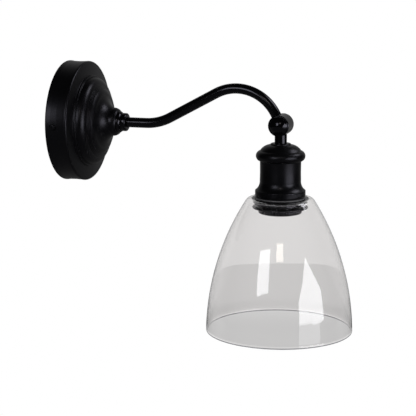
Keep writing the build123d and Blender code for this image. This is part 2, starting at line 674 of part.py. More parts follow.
def pivot_nut():
    """The slotted ring nut that sets the knuckle's friction."""
    end = pivot_nut_end()
    ring = ring_y(PIVOT_NUT_RADIUS, SPIGOT_RADIUS + SLIDE, end - PIVOT_NUT_HEIGHT, end)
    slot = Pos(0, end, 0) * Box(2 * PIVOT_NUT_RADIUS, PIVOT_NUT_HEIGHT, PIVOT_NUT_HEIGHT)
    return at_pivot * across_y(ring - slot)


def holder_cup():
    """The turned cover: collar, dome, bead, sleeve, flare and foot."""
    bore = STEM_TAIL_RADIUS + SLIDE
    collar_low = (HOLDER_COLLAR_RADIUS, dome_top)
    collar_side = (HOLDER_COLLAR_RADIUS, holder_top - HOLDER_COLLAR_ROUND)
    collar_crown = (HOLDER_COLLAR_RADIUS - HOLDER_COLLAR_ROUND, holder_top)
    bead_start = (HOLDER_RADIUS, bead_top)
    bead_crown = (HOLDER_RADIUS + HOLDER_BEAD_BULGE, (bead_top + bead_bottom) / 2)
    bead_end = (HOLDER_RADIUS, bead_bottom)
    flare_start = (HOLDER_RADIUS, flare_top)
    foot_edge = (HOLDER_FOOT_RADIUS - HOLDER_FOOT_ROUND / 2, foot_top)
    foot_side = (HOLDER_FOOT_RADIUS, foot_top - HOLDER_FOOT_ROUND / 2)
    foot_low = (HOLDER_FOOT_RADIUS, holder_bottom + HOLDER_FOOT_ROUND)
    foot_corner = (HOLDER_FOOT_RADIUS - HOLDER_FOOT_ROUND, holder_bottom)
    lines = [Line((bore, holder_top), collar_crown)]
    lines += [RadiusArc(collar_crown, collar_side, HOLDER_COLLAR_ROUND)]
    lines += [Line(collar_side, collar_low)]
    lines += [RadiusArc(collar_low, bead_start, HOLDER_DOME_ROUND)]
    lines += [ThreePointArc(bead_start, bead_crown, bead_end)]
    lines += [Line(bead_end, flare_start)]
    lines += [RadiusArc(flare_start, foot_edge, -HOLDER_FLARE_ROUND)]
    lines += [RadiusArc(foot_edge, foot_side, HOLDER_FOOT_ROUND / 2)]
    lines += [Line(foot_side, foot_low)]
    lines += [RadiusArc(foot_low, foot_corner, HOLDER_FOOT_ROUND)]
    lines += [
        Polyline(
            foot_corner,
            (holder_bore_radius, holder_bottom),
            (holder_bore_radius, bead_top - HOLDER_WALL),
            (HOLDER_COLLAR_RADIUS - HOLDER_WALL, holder_seat),
            (bore, holder_seat),
            (bore, holder_top),
        )
    ]
    return at_pivot * about_z(Curve() + lines)


def socket_cap():
    """The lampholder's upper part, screwed on the stem's tail against the holder cup."""
    bore = STEM_TAIL_RADIUS + SLIDE
    roof = socket_shoulder - SOCKET_WALL
    inner = SOCKET_RADIUS - SOCKET_WALL
    slope = SOCKET_RADIUS - (holder_bore_radius - SOCKET_RADIUS) - SOCKET_WALL
    outline = Polyline(
        (bore, holder_seat),
        (SOCKET_NECK_RADIUS, holder_seat),
        (SOCKET_NECK_RADIUS, socket_shoulder + SOCKET_WALL),
        (slope, socket_shoulder),
        (SOCKET_RADIUS, socket_shoulder - SOCKET_WALL),
        (SOCKET_RADIUS, sleeve_top),
        (inner, sleeve_top),
        (inner, roof),
        (bore, roof),
        close=True,
    )
    return at_pivot * about_z(outline)


def socket_sleeve():
    """The lampholder's threaded sleeve, which holds the insert up and carries the shade ring."""
    outline = Polyline(
        (SOCKET_RADIUS, sleeve_top),
        (SOCKET_RADIUS, sleeve_bottom),
        (SOCKET_MOUTH_RADIUS, sleeve_bottom),
        (SOCKET_MOUTH_RADIUS, shell_top),
        (INSERT_RADIUS + SLIDE, shell_top),
        (INSERT_RADIUS + SLIDE, sleeve_top),
        close=True,
    )
    return at_pivot * about_z(outline)


def socket_insert():
    """The ceramic insert that carries the contacts and the terminals."""
    insert = ring_z(INSERT_RADIUS, 0, shell_top, insert_top)
    insert -= ring_z(INSERT_WELL_RADIUS, 0, shell_top, shell_top + INSERT_WELL_DEPTH)
    for side in (-1, 1):
        hole_top = side * TERMINAL_OFFSET, 0, insert_top
        hole_end = side * TERMINAL_OFFSET, 0, insert_top - INSERT_WELL_DEPTH
        insert -= rod(hole_top, hole_end, TERMINAL_RADIUS / 2 + SLIDE)
    return at_pivot * insert


def screw_shell():
    """The lamp's screw shell, at the size of the thread's major diameter."""
    return at_pivot * ring_z(SHELL_RADIUS + SHELL_WALL, SHELL_RADIUS, shell_top - SHELL_LENGTH, shell_top)


def centre_contact():
    """The spring tongue in the insert's well."""
    roof = shell_top + INSERT_WELL_DEPTH
    hung = Align.CENTER, Align.CENTER, Align.MAX
    strip = Pos(0, 0, roof) * Box(CONTACT_LENGTH, CONTACT_WIDTH, CONTACT_THICKNESS, align=hung)
    low = roof - CONTACT_THICKNESS - CONTACT_BUTTON_HEIGHT
    button = ring_z(CONTACT_BUTTON_RADIUS, 0, low, roof - CONTACT_THICKNESS)
    button = fillet(button.edges().sort_by(Axis.Z)[0], CONTACT_THICKNESS)
    return at_pivot * (strip + button)


def socket_terminal_screws():
    """The two clamp screws on top of the insert."""
    screws = []
    head_top = insert_top + TERMINAL_HEAD_HEIGHT
    for side in (-1, 1):
        screw = ring_z(TERMINAL_RADIUS, 0, insert_top, head_top)
        screw += ring_z(TERMINAL_RADIUS / 2, 0, insert_top - INSERT_WELL_DEPTH + SPLIT, insert_top)
        slot = Pos(0, 0, head_top) * Box(2 * TERMINAL_RADIUS, TERMINAL_RADIUS / 3, TERMINAL_HEAD_HEIGHT)
        screws += [at_pivot * Pos(side * TERMINAL_OFFSET, 0, 0) * (screw - slot)]
    return screws


def shade_gasket():
    """The rubber ring between the holder cup's foot and the glass."""
    return at_pivot * ring_z(GASKET_RADIUS, SHADE_HOLE_RADIUS, shade_top, holder_bottom)


def lower_gasket():
    """The rubber ring between the glass and the shade ring."""
    return at_pivot * ring_z(LOWER_GASKET_RADIUS, SHADE_HOLE_RADIUS, ring_top, shade_inner_top)


def bell_solid(rim_radius, shoulder_radius, top, curve):
    """A solid bell from the shade's rim up to a flat top with rounded shoulders."""
    rim = (rim_radius, shade_rim)
    shoulder = (shoulder_radius, top)
    side = RadiusArc(rim, shoulder, -curve)
    closing = Polyline(shoulder, (0, top), (0, shade_rim), rim)
    return about_z(Curve() + [side, closing])


def glass_shade():
    """The blown bell with a flat holed top."""
    outer = bell_solid(SHADE_RIM_RADIUS, SHADE_SHOULDER_RADIUS, shade_top, SHADE_SIDE_CURVE)
    outer = fillet(outer.edges().sort_by(Axis.Z)[-1], SHADE_SHOULDER_ROUND)
    inner_rim = SHADE_RIM_RADIUS - SHADE_WALL
    inner_shoulder = SHADE_SHOULDER_RADIUS - SHADE_WALL / 2
    inner = bell_solid(inner_rim, inner_shoulder, shade_inner_top, SHADE_SIDE_CURVE - SHADE_WALL)
    inner = fillet(inner.edges().sort_by(Axis.Z)[-1], SHADE_SHOULDER_ROUND - SHADE_WALL)
    shade = outer - inner - ring_z(SHADE_HOLE_RADIUS, 0, shade_inner_top, shade_top)
    shade = fillet(shade.edges().group_by(Axis.Z)[0], SHADE_RIM_ROUND)
    return at_pivot * shade


def shade_ring():
    """The ring that screws up the lampholder's sleeve and clamps the glass."""
    ring = ring_z(RING_RADIUS, SOCKET_RADIUS + SLIDE, ring_bottom, ring_top)
    circles = ring.edges().filter_by(GeomType.CIRCLE).sort_by(SortBy.RADIUS)
    return at_pivot * fillet(circles[-2:], RING_ROUND)


def shade_lock_ring():
    """The flanged second ring on the sleeve, which keeps the first from working loose."""
    bore = SOCKET_RADIUS + SLIDE
    ring = ring_z(LOCK_RING_FLANGE_RADIUS, bore, lock_ring_top - LOCK_RING_FLANGE_THICKNESS, lock_ring_top)
    ring += ring_z(LOCK_RING_SKIRT_RADIUS, bore, lock_ring_bottom, lock_ring_top)
    circles = ring.edges().filter_by(GeomType.CIRCLE).sort_by(SortBy.RADIUS)
    return at_pivot * fillet(circles[-2:], RING_ROUND)


def flex_cores(start, ends, bends):
    """Two thin cores from the end of the sleeved flex to their clamps."""
    cores = []
    for points in zip(start, *ends):
        path = FilletPolyline(*points, radius=bends)
        cores += [tube_along(path, CORE_RADIUS)]
    return cores


def arm_flex():
    """The sleeved flex from the cup through the arm to the knuckle's parting plane, with its cores."""
    neck_axis = -drop_direction
    turn_point = pivot + neck_axis * FLEX_ARM_REACH
    points = [
        (FLEX_END_X, 0, 0),
        arm_corner_low,
        arm_corner_high,
        turn_point,
        pivot + Vector(0, FLEX_ARM_DEPTH, 0),
        pivot + Vector(0, SPLIT, 0),
    ]
    crest_run = crest_tangent + ARM_END_RUN + ARM_END_TO_PIVOT - FLEX_ARM_REACH
    crest_bend = (crest_run - FLEX_TAIL) / tan((rise + drop) / 2)
    radii = [ARM_RISE_BEND, crest_bend, FLEX_EASE, FLEX_TURN]
    flex = tube_along(FilletPolyline(*points, radius=radii), FLEX_RADIUS)
    bore_x = BRACKET_THICKNESS + BLOCK_BORE_HEIGHT
    start = [(FLEX_END_X - SPLIT, side * CORE_OFFSET, 0) for side in (-1, 1)]
    poles = [pole_y(0), pole_y(1)]
    spread = [(FLEX_END_X / 2 + bore_x / 2, (pole + side) / 2, 0) for pole, side in zip(poles, (-1, 1))]
    above = [(bore_x, pole, BLOCK_TOP_Z / 3) for pole in poles]
    clamped = [(bore_x, pole, BLOCK_TOP_Z - BLOCK_DEPTH / 3) for pole in poles]
    return [flex] + flex_cores(start, [spread, above, clamped], [CORE_SWEEP, CORE_BEND])


def head_flex():
    """The sleeved flex from the parting plane down the stem, with its cores to the terminals."""
    flex_end = pivot.Z + socket_shoulder - SOCKET_WALL
    points = [
        pivot - Vector(0, SPLIT, 0),
        pivot - Vector(0, FLEX_HEAD_DEPTH, 0),
        pivot - Vector(0, 0, FLEX_HEAD_REACH),
        (pivot.X, 0, flex_end),
    ]
    flex = tube_along(FilletPolyline(*points, radius=[FLEX_TURN, FLEX_EASE]), FLEX_RADIUS)
    start = [(pivot.X + side * CORE_OFFSET, 0, flex_end - SPLIT) for side in (-1, 1)]
    head_top = pivot.Z + insert_top + TERMINAL_HEAD_HEIGHT + CORE_RADIUS + SPLIT
    below = [(pivot.X + side * CORE_OFFSET, 0, head_top) for side in (-1, 1)]
    clamped = [(pivot.X + side * TERMINAL_OFFSET, 0, head_top) for side in (-1, 1)]
    return [flex] + flex_cores(start, [below, clamped], [CORE_TIGHT_BEND])


def earth_wire():
    """The short earth core from the block's last pole to the earth tag."""
    bore_x = BRACKET_THICKNESS + BLOCK_BORE_HEIGHT
    last = pole_y(BLOCK_POLES - 1)
    tag_x = BRACKET_THICKNESS + EARTH_TAG_THICKNESS + CORE_RADIUS + SPLIT
    tag_edge = EARTH_SCREW_Z - EARTH_SCREW_HEAD_RADIUS - CORE_RADIUS
    points = [
        (bore_x, last, BLOCK_TOP_Z - BLOCK_DEPTH / 3),
        (bore_x, last, BLOCK_TOP_Z / 2),
        (tag_x, EARTH_SCREW_Y, BLOCK_TOP_Z / 6),
        (tag_x, EARTH_SCREW_Y, tag_edge),
    ]
    return tube_along(FilletPolyline(*points, radius=EARTH_WIRE_BENDS), CORE_RADIUS)


PIECES = [
    wall_bracket,
    wall_cup,
    cup_screws,
    earth_tag,
    earth_screw,
    terminal_block,
    terminal_block_screws,
    terminal_block_fixing,
    arm_tube,
    arm_collar,
    collar_grub_screw,
    arm_lock_washer,
    arm_lock_nut,
    knuckle_arm_half,
    knuckle_rear_cap,
    friction_ring,
    pivot_washer,
    pivot_nut,
    arm_flex,
    earth_wire,
    knuckle_head_half,
    knuckle_front_cap,
    holder_cup,
    socket_cap,
    socket_sleeve,
    socket_insert,
    screw_shell,
    centre_contact,
    socket_terminal_screws,
    shade_gasket,
    glass_shade,
    lower_gasket,
    shade_ring,
    shade_lock_ring,
    head_flex,
]

os.makedirs("parts", exist_ok=True)
for piece in PIECES:
    made = piece()
    if isinstance(made, list):
        made = Compound(children=made)
    export_step(made, f"parts/{piece.__name__}.step")
print("pivot", pivot, "shade rim", pivot.Z + shade_rim)
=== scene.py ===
# %% [markdown]
# # A black wall lamp with a swan-neck arm and a clear glass bell
# The lamp's solids come ready made from its CAD model, at their real size and in their real place.
# This lesson gives them their looks: finer meshes for what the eye rests on, a finish for every
# surface, and a small photo studio around the lamp.
# Everything is in metres. The origin lies on the wall, +X points out of the wall, and +Z is up.

# %% Load the lamp's solids
import json
from math import acos, ceil, cos, hypot, pi, radians, sin, sqrt, tan

import bmesh
import bpy
from mathutils import Matrix, Vector


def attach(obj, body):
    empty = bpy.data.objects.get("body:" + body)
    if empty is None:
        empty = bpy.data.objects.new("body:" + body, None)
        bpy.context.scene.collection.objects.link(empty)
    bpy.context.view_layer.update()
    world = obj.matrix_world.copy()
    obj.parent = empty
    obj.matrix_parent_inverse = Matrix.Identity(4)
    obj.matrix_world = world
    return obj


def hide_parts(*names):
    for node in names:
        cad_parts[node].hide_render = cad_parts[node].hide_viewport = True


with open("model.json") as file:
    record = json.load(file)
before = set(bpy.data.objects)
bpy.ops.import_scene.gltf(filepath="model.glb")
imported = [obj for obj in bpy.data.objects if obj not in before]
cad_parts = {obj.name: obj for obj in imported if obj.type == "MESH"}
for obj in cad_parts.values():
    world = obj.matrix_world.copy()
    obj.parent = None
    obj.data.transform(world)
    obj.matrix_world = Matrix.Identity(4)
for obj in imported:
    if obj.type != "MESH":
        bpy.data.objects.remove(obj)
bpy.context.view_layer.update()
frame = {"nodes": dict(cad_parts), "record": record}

MM = 0.001
PIVOT = Vector(frame["record"]["behaviour"]["joints"][0]["pos_m"])

# %% [markdown]
# ## The camera
# The photograph was taken with a long lens, a little to the right of the lamp and from slightly above.
# The place and the turn of the camera were worked out from the outlines of the wall cup, the arm
# and the shade's rim, so that the picture shows the lamp at the same angle and the same size.

# %% Put up the camera
CAMERA_PLACE = (0.587018, -1.357803, 0.183384)
CAMERA_AZIMUTH = 17.711
CAMERA_PITCH = 10.693
CAMERA_LENS = 121.61

camera_data = bpy.data.cameras.new("photo_camera")
camera_data.lens = CAMERA_LENS
camera_data.sensor_width = 36.0
camera_data.dof.use_dof = False
camera = bpy.data.objects.new("photo_camera", camera_data)
camera.location = CAMERA_PLACE
camera.rotation_euler = (radians(90 - CAMERA_PITCH), 0, radians(CAMERA_AZIMUTH))
bpy.context.scene.collection.objects.link(camera)
bpy.context.scene.camera = camera
print("camera at", CAMERA_PLACE)

# %% [markdown]
# ## The world
# The lamp hangs in front of a white sweep, so the world is plain white to the lens.
# Paint and glass look into it too. A real studio is pale behind the object and dark on the side of
# the photographer, and that dark side is what makes black paint read as black and glass as glass.
# Light Path tells the kinds of ray apart, and the direction of the ray tells front from rear.
# Glossy Depth marks light that was mirrored on its way through the glass. Such light finds the rear
# as pale as before and the front nearly dark.

# %% Light the world
WORLD_AMBIENT = 0.32
WORLD_THROUGH_GLASS = 0.87
WORLD_MIRRORED_FRONT = 0.01
WORLD_MIRRORED_REAR = 0.28
WORLD_MIRRORED_TURN = (0.3, 1.0)
VEIL_FRONT = 0.03
VEIL_TURN = (0.0, 0.7)

bpy.context.scene.view_settings.view_transform = "Standard"
world = bpy.data.worlds.new("white_studio")
world.use_nodes = True
bpy.context.scene.world = world
toward_rear = Vector((-sin(radians(CAMERA_AZIMUTH)), cos(radians(CAMERA_AZIMUTH)), 0))


def add_node(tree, kind, **settings):
    """Adds a node and sets its properties, or its input sockets by name."""
    node = tree.nodes.new(kind)
    for name, value in settings.items():
        if hasattr(node, name):
            setattr(node, name, value)
        else:
            node.inputs[name.replace("_", " ")].default_value = value
    return node


def by_ray_kind(tree, otherwise, kinds):
    """A strength that depends on the kind of ray that asks for it."""
    path = add_node(tree, "ShaderNodeLightPath")
    strength = otherwise
    for ray, value in kinds:
        mix = add_node(tree, "ShaderNodeMix", data_type="FLOAT")
        tree.links.new(path.outputs[ray], mix.inputs["Factor"])
        for slot_name, source in (("A", strength), ("B", value)):
            if isinstance(source, float):
                mix.inputs[slot_name].default_value = source
            else:
                tree.links.new(source, mix.inputs[slot_name])
        strength = mix.outputs["Result"]
    return strength


def eased(tree, value, span, low, high):
    """A smooth step from a low to a high result while a value crosses a span."""
    ramp = add_node(
        tree, "ShaderNodeMapRange", interpolation_type="SMOOTHSTEP",
        From_Min=span[0], From_Max=span[1], To_Min=low, To_Max=high,
    )
    tree.links.new(value, ramp.inputs["Value"])
    return ramp.outputs["Result"]


def is_beyond(tree, value, limit):
    """One where a value is greater than a limit."""
    test = add_node(tree, "ShaderNodeMath", operation="GREATER_THAN")
    test.inputs[1].default_value = limit
    tree.links.new(value, test.inputs[0])
    return test.outputs[0]


def build_world(tree):
    """White to the camera, pale through glass, and dark towards the room in mirrored light."""
    tree.nodes.clear()
    direction = add_node(tree, "ShaderNodeTexCoord")
    turn = add_node(tree, "ShaderNodeVectorMath", operation="DOT_PRODUCT")
    turn.inputs[1].default_value = toward_rear
    tree.links.new(direction.outputs["Generated"], turn.inputs[0])
    rearward = turn.outputs["Value"]
    rear = eased(tree, rearward, WORLD_MIRRORED_TURN, WORLD_MIRRORED_FRONT, WORLD_MIRRORED_REAR)
    veil = eased(tree, rearward, VEIL_TURN, VEIL_FRONT, WORLD_THROUGH_GLASS)
    kinds = (
        ("Is Glossy Ray", rear),
        ("Is Transmission Ray", by_ray_kind(tree, WORLD_THROUGH_GLASS, (("Glossy Depth", veil),))),
        ("Is Camera Ray", 1.0),
    )
    background = add_node(tree, "ShaderNodeBackground", Color=(1, 1, 1, 1))
    tree.links.new(by_ray_kind(tree, WORLD_AMBIENT, kinds), background.inputs["Strength"])
    out = add_node(tree, "ShaderNodeOutputWorld")
    tree.links.new(background.outputs["Background"], out.inputs["Surface"])


build_world(world.node_tree)
print("world lit")

# %% [markdown]
# ## The floor
# The sweep's floor lies well below the lamp, and its far edge is the faint horizon that shows
# through the glass. To the lens it is as white as the world, and to the glass it is a shade darker.
# Light that has bounced once sees plain white paint, so the floor still carries the lamp's shadow.
# From below the floor is clear, so that the lamp can be looked at from there too.

# %% Lay the floor
FLOOR_HEIGHT = -0.75
FLOOR_FAR_EDGE = 4.01
FLOOR_WIDTH = 7.0
FLOOR_LENGTH = 6.5
FLOOR_MIRRORED = 0.12
FLOOR_FAR_THROUGH_GLASS = 0.73
FLOOR_NEAR_THROUGH_GLASS = 0.63
FLOOR_FADE = (0.395, 0.44)
FLOOR_VEIL = (0.05, 0.25)
FLOOR_WHITE = (0.8, 0.8, 0.8, 1)
FLOOR_LEAST_GLOW = 0.01

floor_centre = Vector(CAMERA_PLACE) + toward_rear * (FLOOR_FAR_EDGE - FLOOR_LENGTH / 2)
floor_centre.z = FLOOR_HEIGHT
bpy.ops.object.select_all(action="DESELECT")
bpy.ops.mesh.primitive_plane_add(size=1, location=floor_centre, rotation=(0, 0, radians(CAMERA_AZIMUTH)))
floor = bpy.context.object
floor.name = "studio_floor"
floor.scale = (FLOOR_WIDTH, FLOOR_LENGTH, 1)


def build_floor(tree):
    """Glows plainly for the lens, for mirrored rays and through glass, and is white paint otherwise."""
    tree.nodes.clear()
    place = add_node(tree, "ShaderNodeTexCoord")
    along = add_node(tree, "ShaderNodeSeparateXYZ")
    tree.links.new(place.outputs["Object"], along.inputs["Vector"])
    depth = along.outputs["Y"]
    fading = eased(tree, depth, FLOOR_FADE, FLOOR_NEAR_THROUGH_GLASS, FLOOR_FAR_THROUGH_GLASS)
    veil = eased(tree, depth, FLOOR_VEIL, VEIL_FRONT, FLOOR_FAR_THROUGH_GLASS)
    kinds = (
        ("Is Glossy Ray", FLOOR_MIRRORED),
        ("Is Transmission Ray", by_ray_kind(tree, fading, (("Glossy Depth", veil),))),
        ("Is Camera Ray", 1.0),
    )
    strength = by_ray_kind(tree, 0.0, kinds)
    glow = add_node(tree, "ShaderNodeEmission")
    tree.links.new(strength, glow.inputs["Strength"])
    matte = add_node(tree, "ShaderNodeBsdfDiffuse", Color=FLOOR_WHITE)
    blend = add_node(tree, "ShaderNodeMixShader")
    tree.links.new(is_beyond(tree, strength, FLOOR_LEAST_GLOW), blend.inputs["Fac"])
    tree.links.new(matte.outputs["BSDF"], blend.inputs[1])
    tree.links.new(glow.outputs["Emission"], blend.inputs[2])
    below = add_node(tree, "ShaderNodeNewGeometry")
    clear = add_node(tree, "ShaderNodeBsdfTransparent")
    sides = add_node(tree, "ShaderNodeMixShader")
    tree.links.new(below.outputs["Backfacing"], sides.inputs["Fac"])
    tree.links.new(blend.outputs["Shader"], sides.inputs[1])
    tree.links.new(clear.outputs["BSDF"], sides.inputs[2])
    out = add_node(tree, "ShaderNodeOutputMaterial")
    tree.links.new(sides.outputs["Shader"], out.inputs["Surface"])


floor_paint = bpy.data.materials.new("white_floor")
floor_paint.use_nodes = True
build_floor(floor_paint.node_tree)
floor.data.materials.append(floor_paint)
print("floor at", FLOOR_HEIGHT)

# %% [markdown]
# ## The softboxes
# A tall patch of light on the left of the glass and a small warm one near its top each show a softbox.
# Mirroring the line of sight at a patch gives the direction of the light that it shows, and a
# rectangular softbox faces the lamp from there. A third one hangs high on the right, behind the lamp.

# %% Hang the softboxes
LAMP_MIDDLE = Vector((0.23, 0, -0.12))


def hanging(azimuth, elevation, distance, roll):
    """The place and turn of something that faces the middle of the lamp from a direction in degrees."""
    back = Vector((
        sin(radians(azimuth)) * cos(radians(elevation)),
        -cos(radians(azimuth)) * cos(radians(elevation)),
        sin(radians(elevation)),
    ))
    facing = (-back).to_track_quat("-Z", "Y").to_matrix() @ Matrix.Rotation(radians(roll), 3, "Z")
    return Matrix.Translation(LAMP_MIDDLE + back * distance) @ facing.to_4x4()


def hang_softbox(name, azimuth, elevation, distance, width, height, radiance, colour, roll):
    """A rectangular light that faces the lamp."""
    data = bpy.data.lights.new(name, "AREA")
    data.shape = "RECTANGLE"
    data.size = width
    data.size_y = height
    data.energy = radiance * pi * width * height
    data.color = colour
    box = bpy.data.objects.new(name, data)
    box.matrix_world = hanging(azimuth, elevation, distance, roll)
    box.visible_camera = False
    bpy.context.scene.collection.objects.link(box)
    print(name, "hangs at", [round(place, 2) for place in box.matrix_world.translation])


hang_softbox(
    "softbox_left", azimuth=-15, elevation=19.4, distance=2.2, width=0.76, height=0.82,
    radiance=4.6, colour=(0.96, 0.98, 1.0), roll=10,
)
hang_softbox(
    "softbox_above", azimuth=120, elevation=45, distance=2.1, width=0.9, height=0.8,
    radiance=4.6, colour=(0.95, 0.95, 1.0), roll=0,
)
hang_softbox(
    "skylight", azimuth=15, elevation=30.3, distance=2.3, width=0.5, height=0.36,
    radiance=4.2, colour=(1.0, 0.93, 0.82), roll=0,
)

# %% [markdown]
# ## The window and the bright table
# The wide patch on the right of the glass has the outline of a gable window, and below it shows a
# bright strip of table. Both are flat meshes that give light. The window is a plane whose top edge
# is extruded and merged to one point. A mesh can have a material of its own, so where one of them
# is seen straight through the glass it is only as pale as the world behind it.

# %% Set the window and the table strip
WINDOW_WIDTH = 1.42
WINDOW_SIDE = 0.4
WINDOW_GABLE = 0.63
WINDOW_RADIANCE = 4.6
TABLE_WIDTH = 1.15
TABLE_DEPTH = 0.34
TABLE_RADIANCE = 1.4
DAYLIGHT = (0.97, 0.98, 1.0, 1)


def glow_material(name, radiance):
    """A surface that gives light, but no more than the world does where it is seen straight through glass."""
    material = bpy.data.materials.new(name)
    material.use_nodes = True
    tree = material.node_tree
    tree.nodes.clear()
    glow = add_node(tree, "ShaderNodeEmission", Color=DAYLIGHT)
    straight = by_ray_kind(tree, WORLD_THROUGH_GLASS, (("Glossy Depth", radiance),))
    tree.links.new(by_ray_kind(tree, radiance, (("Is Transmission Ray", straight),)), glow.inputs["Strength"])
    out = add_node(tree, "ShaderNodeOutputMaterial")
    tree.links.new(glow.outputs["Emission"], out.inputs["Surface"])
    return material


def glowing_pane(name, width, height, gable, place, radiance):
    """A flat pane that gives light. With a gable, its top edge is drawn up to a point."""
    bpy.ops.object.select_all(action="DESELECT")
    bpy.ops.mesh.primitive_plane_add(size=1)
    pane = bpy.context.object
    pane.name = name
    bpy.ops.object.mode_set(mode="EDIT")
    bpy.ops.transform.resize(value=(width, height, 1))
    if gable:
        outline = bmesh.from_edit_mesh(pane.data)
        for corner in outline.verts:
            corner.select = corner.co.y > 0
        outline.select_flush_mode()
        bmesh.update_edit_mesh(pane.data)
        bpy.ops.mesh.extrude_region_move(TRANSFORM_OT_translate={"value": (0, gable, 0)})
        bpy.ops.mesh.merge(type="CENTER")
    bpy.ops.object.mode_set(mode="OBJECT")
    pane.matrix_world = place
    pane.data.materials.append(glow_material(name + "_light", radiance))
    pane.visible_camera = False
    pane.visible_shadow = False
    print(name, "has", len(pane.data.vertices), "corners")


window_place = hanging(azimuth=67, elevation=-0.7, distance=1.85, roll=0)
glowing_pane("gable_window", WINDOW_WIDTH, WINDOW_SIDE, WINDOW_GABLE, window_place, WINDOW_RADIANCE)
table_place = hanging(azimuth=63, elevation=-11, distance=1.85, roll=0)
glowing_pane("table_strip", TABLE_WIDTH, TABLE_DEPTH, 0, table_place, TABLE_RADIANCE)

# %% [markdown]
# ## A lathe for the turned pieces
# Nearly every piece of this lamp is round: spun from sheet, turned from bar, or blown and turned in
# a mould. So the tool for the job is a lathe: draw half of the outline, then spin it about its axis.
# The outline starts as a plane that is merged to a single point. Extruding that point step by
# step draws the line, and Spin turns it into a skin.
# Corners are rounded in the outline itself, because a real edge always catches a thin line of light.

# %% Build the lathe
ROUNDING_STEP = radians(15)
TURN_STEPS = 96
WELD_DISTANCE = MM / 200
SHARP_ANGLE = radians(32)
ORIGIN = (0, 0, 0)
OUT_OF_WALL = (1, 0, 0)
UPWARD = (0, 0, 1)


def rounded(corners):
    """Outline points from (radius, distance, rounding) corners, each with its own small arc."""
    points = []
    for index, (radius, distance, rounding) in enumerate(corners):
        here = Vector((radius, distance))
        if rounding == 0:
            points.append(here)
            continue
        before = Vector(corners[index - 1][:2]) - here
        after = Vector(corners[(index + 1) % len(corners)][:2]) - here
        before.normalize()
        after.normalize()
        half = acos(max(-1, min(1, before.dot(after)))) / 2
        centre = here + (before + after).normalized() * rounding / sin(half)
        first = here + before * rounding / tan(half)
        last = here + after * rounding / tan(half)
        turn = pi - 2 * half
        steps = max(2, ceil(turn / ROUNDING_STEP))
        sweep = (first - centre).angle_signed(last - centre)
        for step in range(steps + 1):
            spoke = (first - centre).copy()
            spoke.rotate(Matrix.Rotation(-sweep * step / steps, 2))
            points.append(centre + spoke)
    return points


def bowed(start, end, radius, steps):
    """Corners between two ends along an arc, hollow where the radius is negative."""
    first, last = Vector(start), Vector(end)
    chord = last - first
    side = Vector((-chord.y, chord.x)).normalized()
    if side.x < 0:
        side = -side
    rise = abs(radius) - sqrt(radius**2 - (chord.length / 2) ** 2)
    reach = chord.length / 2
    corners = []
    for step in range(1, steps):
        along = (2 * step / steps - 1) * reach
        height = sqrt(radius**2 - along**2) - (abs(radius) - rise)
        place = first + chord * step / steps + side * height * (1 if radius > 0 else -1)
        corners.append((place.x, place.y, 0))
    return corners


def turned(name, points, centre, axis, steps=TURN_STEPS):
    """Draws a closed outline and spins it about an axis."""
    along = Vector(axis)
    across = Vector((1, 0, 0)) if along.z else Vector((0, 0, 1))
    places = [Vector(centre) + (across * point[0] + along * point[1]) * MM for point in points]
    bpy.ops.object.select_all(action="DESELECT")
    bpy.ops.mesh.primitive_plane_add(size=MM)
    piece = bpy.context.object
    piece.name = name
    piece.data.name = name
    bpy.ops.object.mode_set(mode="EDIT")
    bpy.ops.mesh.merge(type="CENTER")
    bpy.ops.transform.translate(value=places[0])
    for here, there in zip(places, places[1:] + places[:1]):
        bpy.ops.mesh.extrude_region_move(TRANSFORM_OT_translate={"value": there - here})
    bpy.ops.mesh.select_all(action="SELECT")
    bpy.ops.mesh.remove_doubles(threshold=WELD_DISTANCE)
    bpy.ops.mesh.spin(steps=steps, angle=2 * pi, center=centre, axis=axis)
    bpy.ops.mesh.select_all(action="SELECT")
    bpy.ops.mesh.remove_doubles(threshold=WELD_DISTANCE)
    bpy.ops.mesh.normals_make_consistent(inside=False)
    # A thin hollow shell can come out inside out, and then its volume is negative
    if bmesh.from_edit_mesh(piece.data).calc_volume(signed=True) < 0:
        bpy.ops.mesh.flip_normals()
    bpy.ops.object.mode_set(mode="OBJECT")
    bpy.ops.object.shade_smooth_by_angle(angle=SHARP_ANGLE)
    print(name, "has", len(piece.data.polygons), "faces")
    return piece


def stands_for(piece, node, body):
    """Lets a finished piece take the place of its CAD solid, on the same body."""
    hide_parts(node)
    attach(piece, body)
    finished[piece.name] = piece


finished = {}

# %% [markdown]
# ## The wall cup
# The cup is spun from steel sheet over a wooden former. From the wall outwards it has a drum-like rim
# with a slight waist, a shallow sloping face, a bead, a rounded band, three fine ridges, and a hollow
# bell that ends in the nose which carries the arm.
# The lathe gives each of these steps a soft edge, which is what sheet does when it is pressed round
# a corner. The outline runs back along the inside, so the cup is a thin shell from behind.
# The holes of the two side screws are left out, so the screws stand through the skin.

# %% Spin the wall cup
cup_outer = [
    (62.5, 0.0, 0.3), (62.5, 1.2, 0.8), (62.0, 5.0, 6), (61.85, 12.0, 20), (62.1, 18.5, 8), (62.5, 22.9, 2.2),
    (47.9, 24.4, 0.5), (47.6, 26.7, 0.9), (45.8, 26.7, 0.3),
    *bowed((45.8, 26.7), (38.6, 35.2), 8.4, 8),
    (38.6, 35.2, 0.2), (37.4, 35.3, 0.25), (37.2, 36.1, 0.3), (36.2, 36.2, 0.25), (36.0, 37.0, 0.3),
    (35.0, 37.1, 0.25), (34.8, 37.9, 0.3), (33.9, 38.1, 0.3),
    *bowed((33.9, 38.1), (29.0, 40.4), 12.0, 4), (29.0, 40.4, 3),
    *bowed((29.0, 40.4), (14.7, 50.0), -17.0, 12), (14.7, 50.0, 0.3),
    *bowed((14.7, 50.0), (12.2, 56.4), 8.0, 6),
    (12.2, 56.4, 0.4), (5.25, 56.4, 0),
]
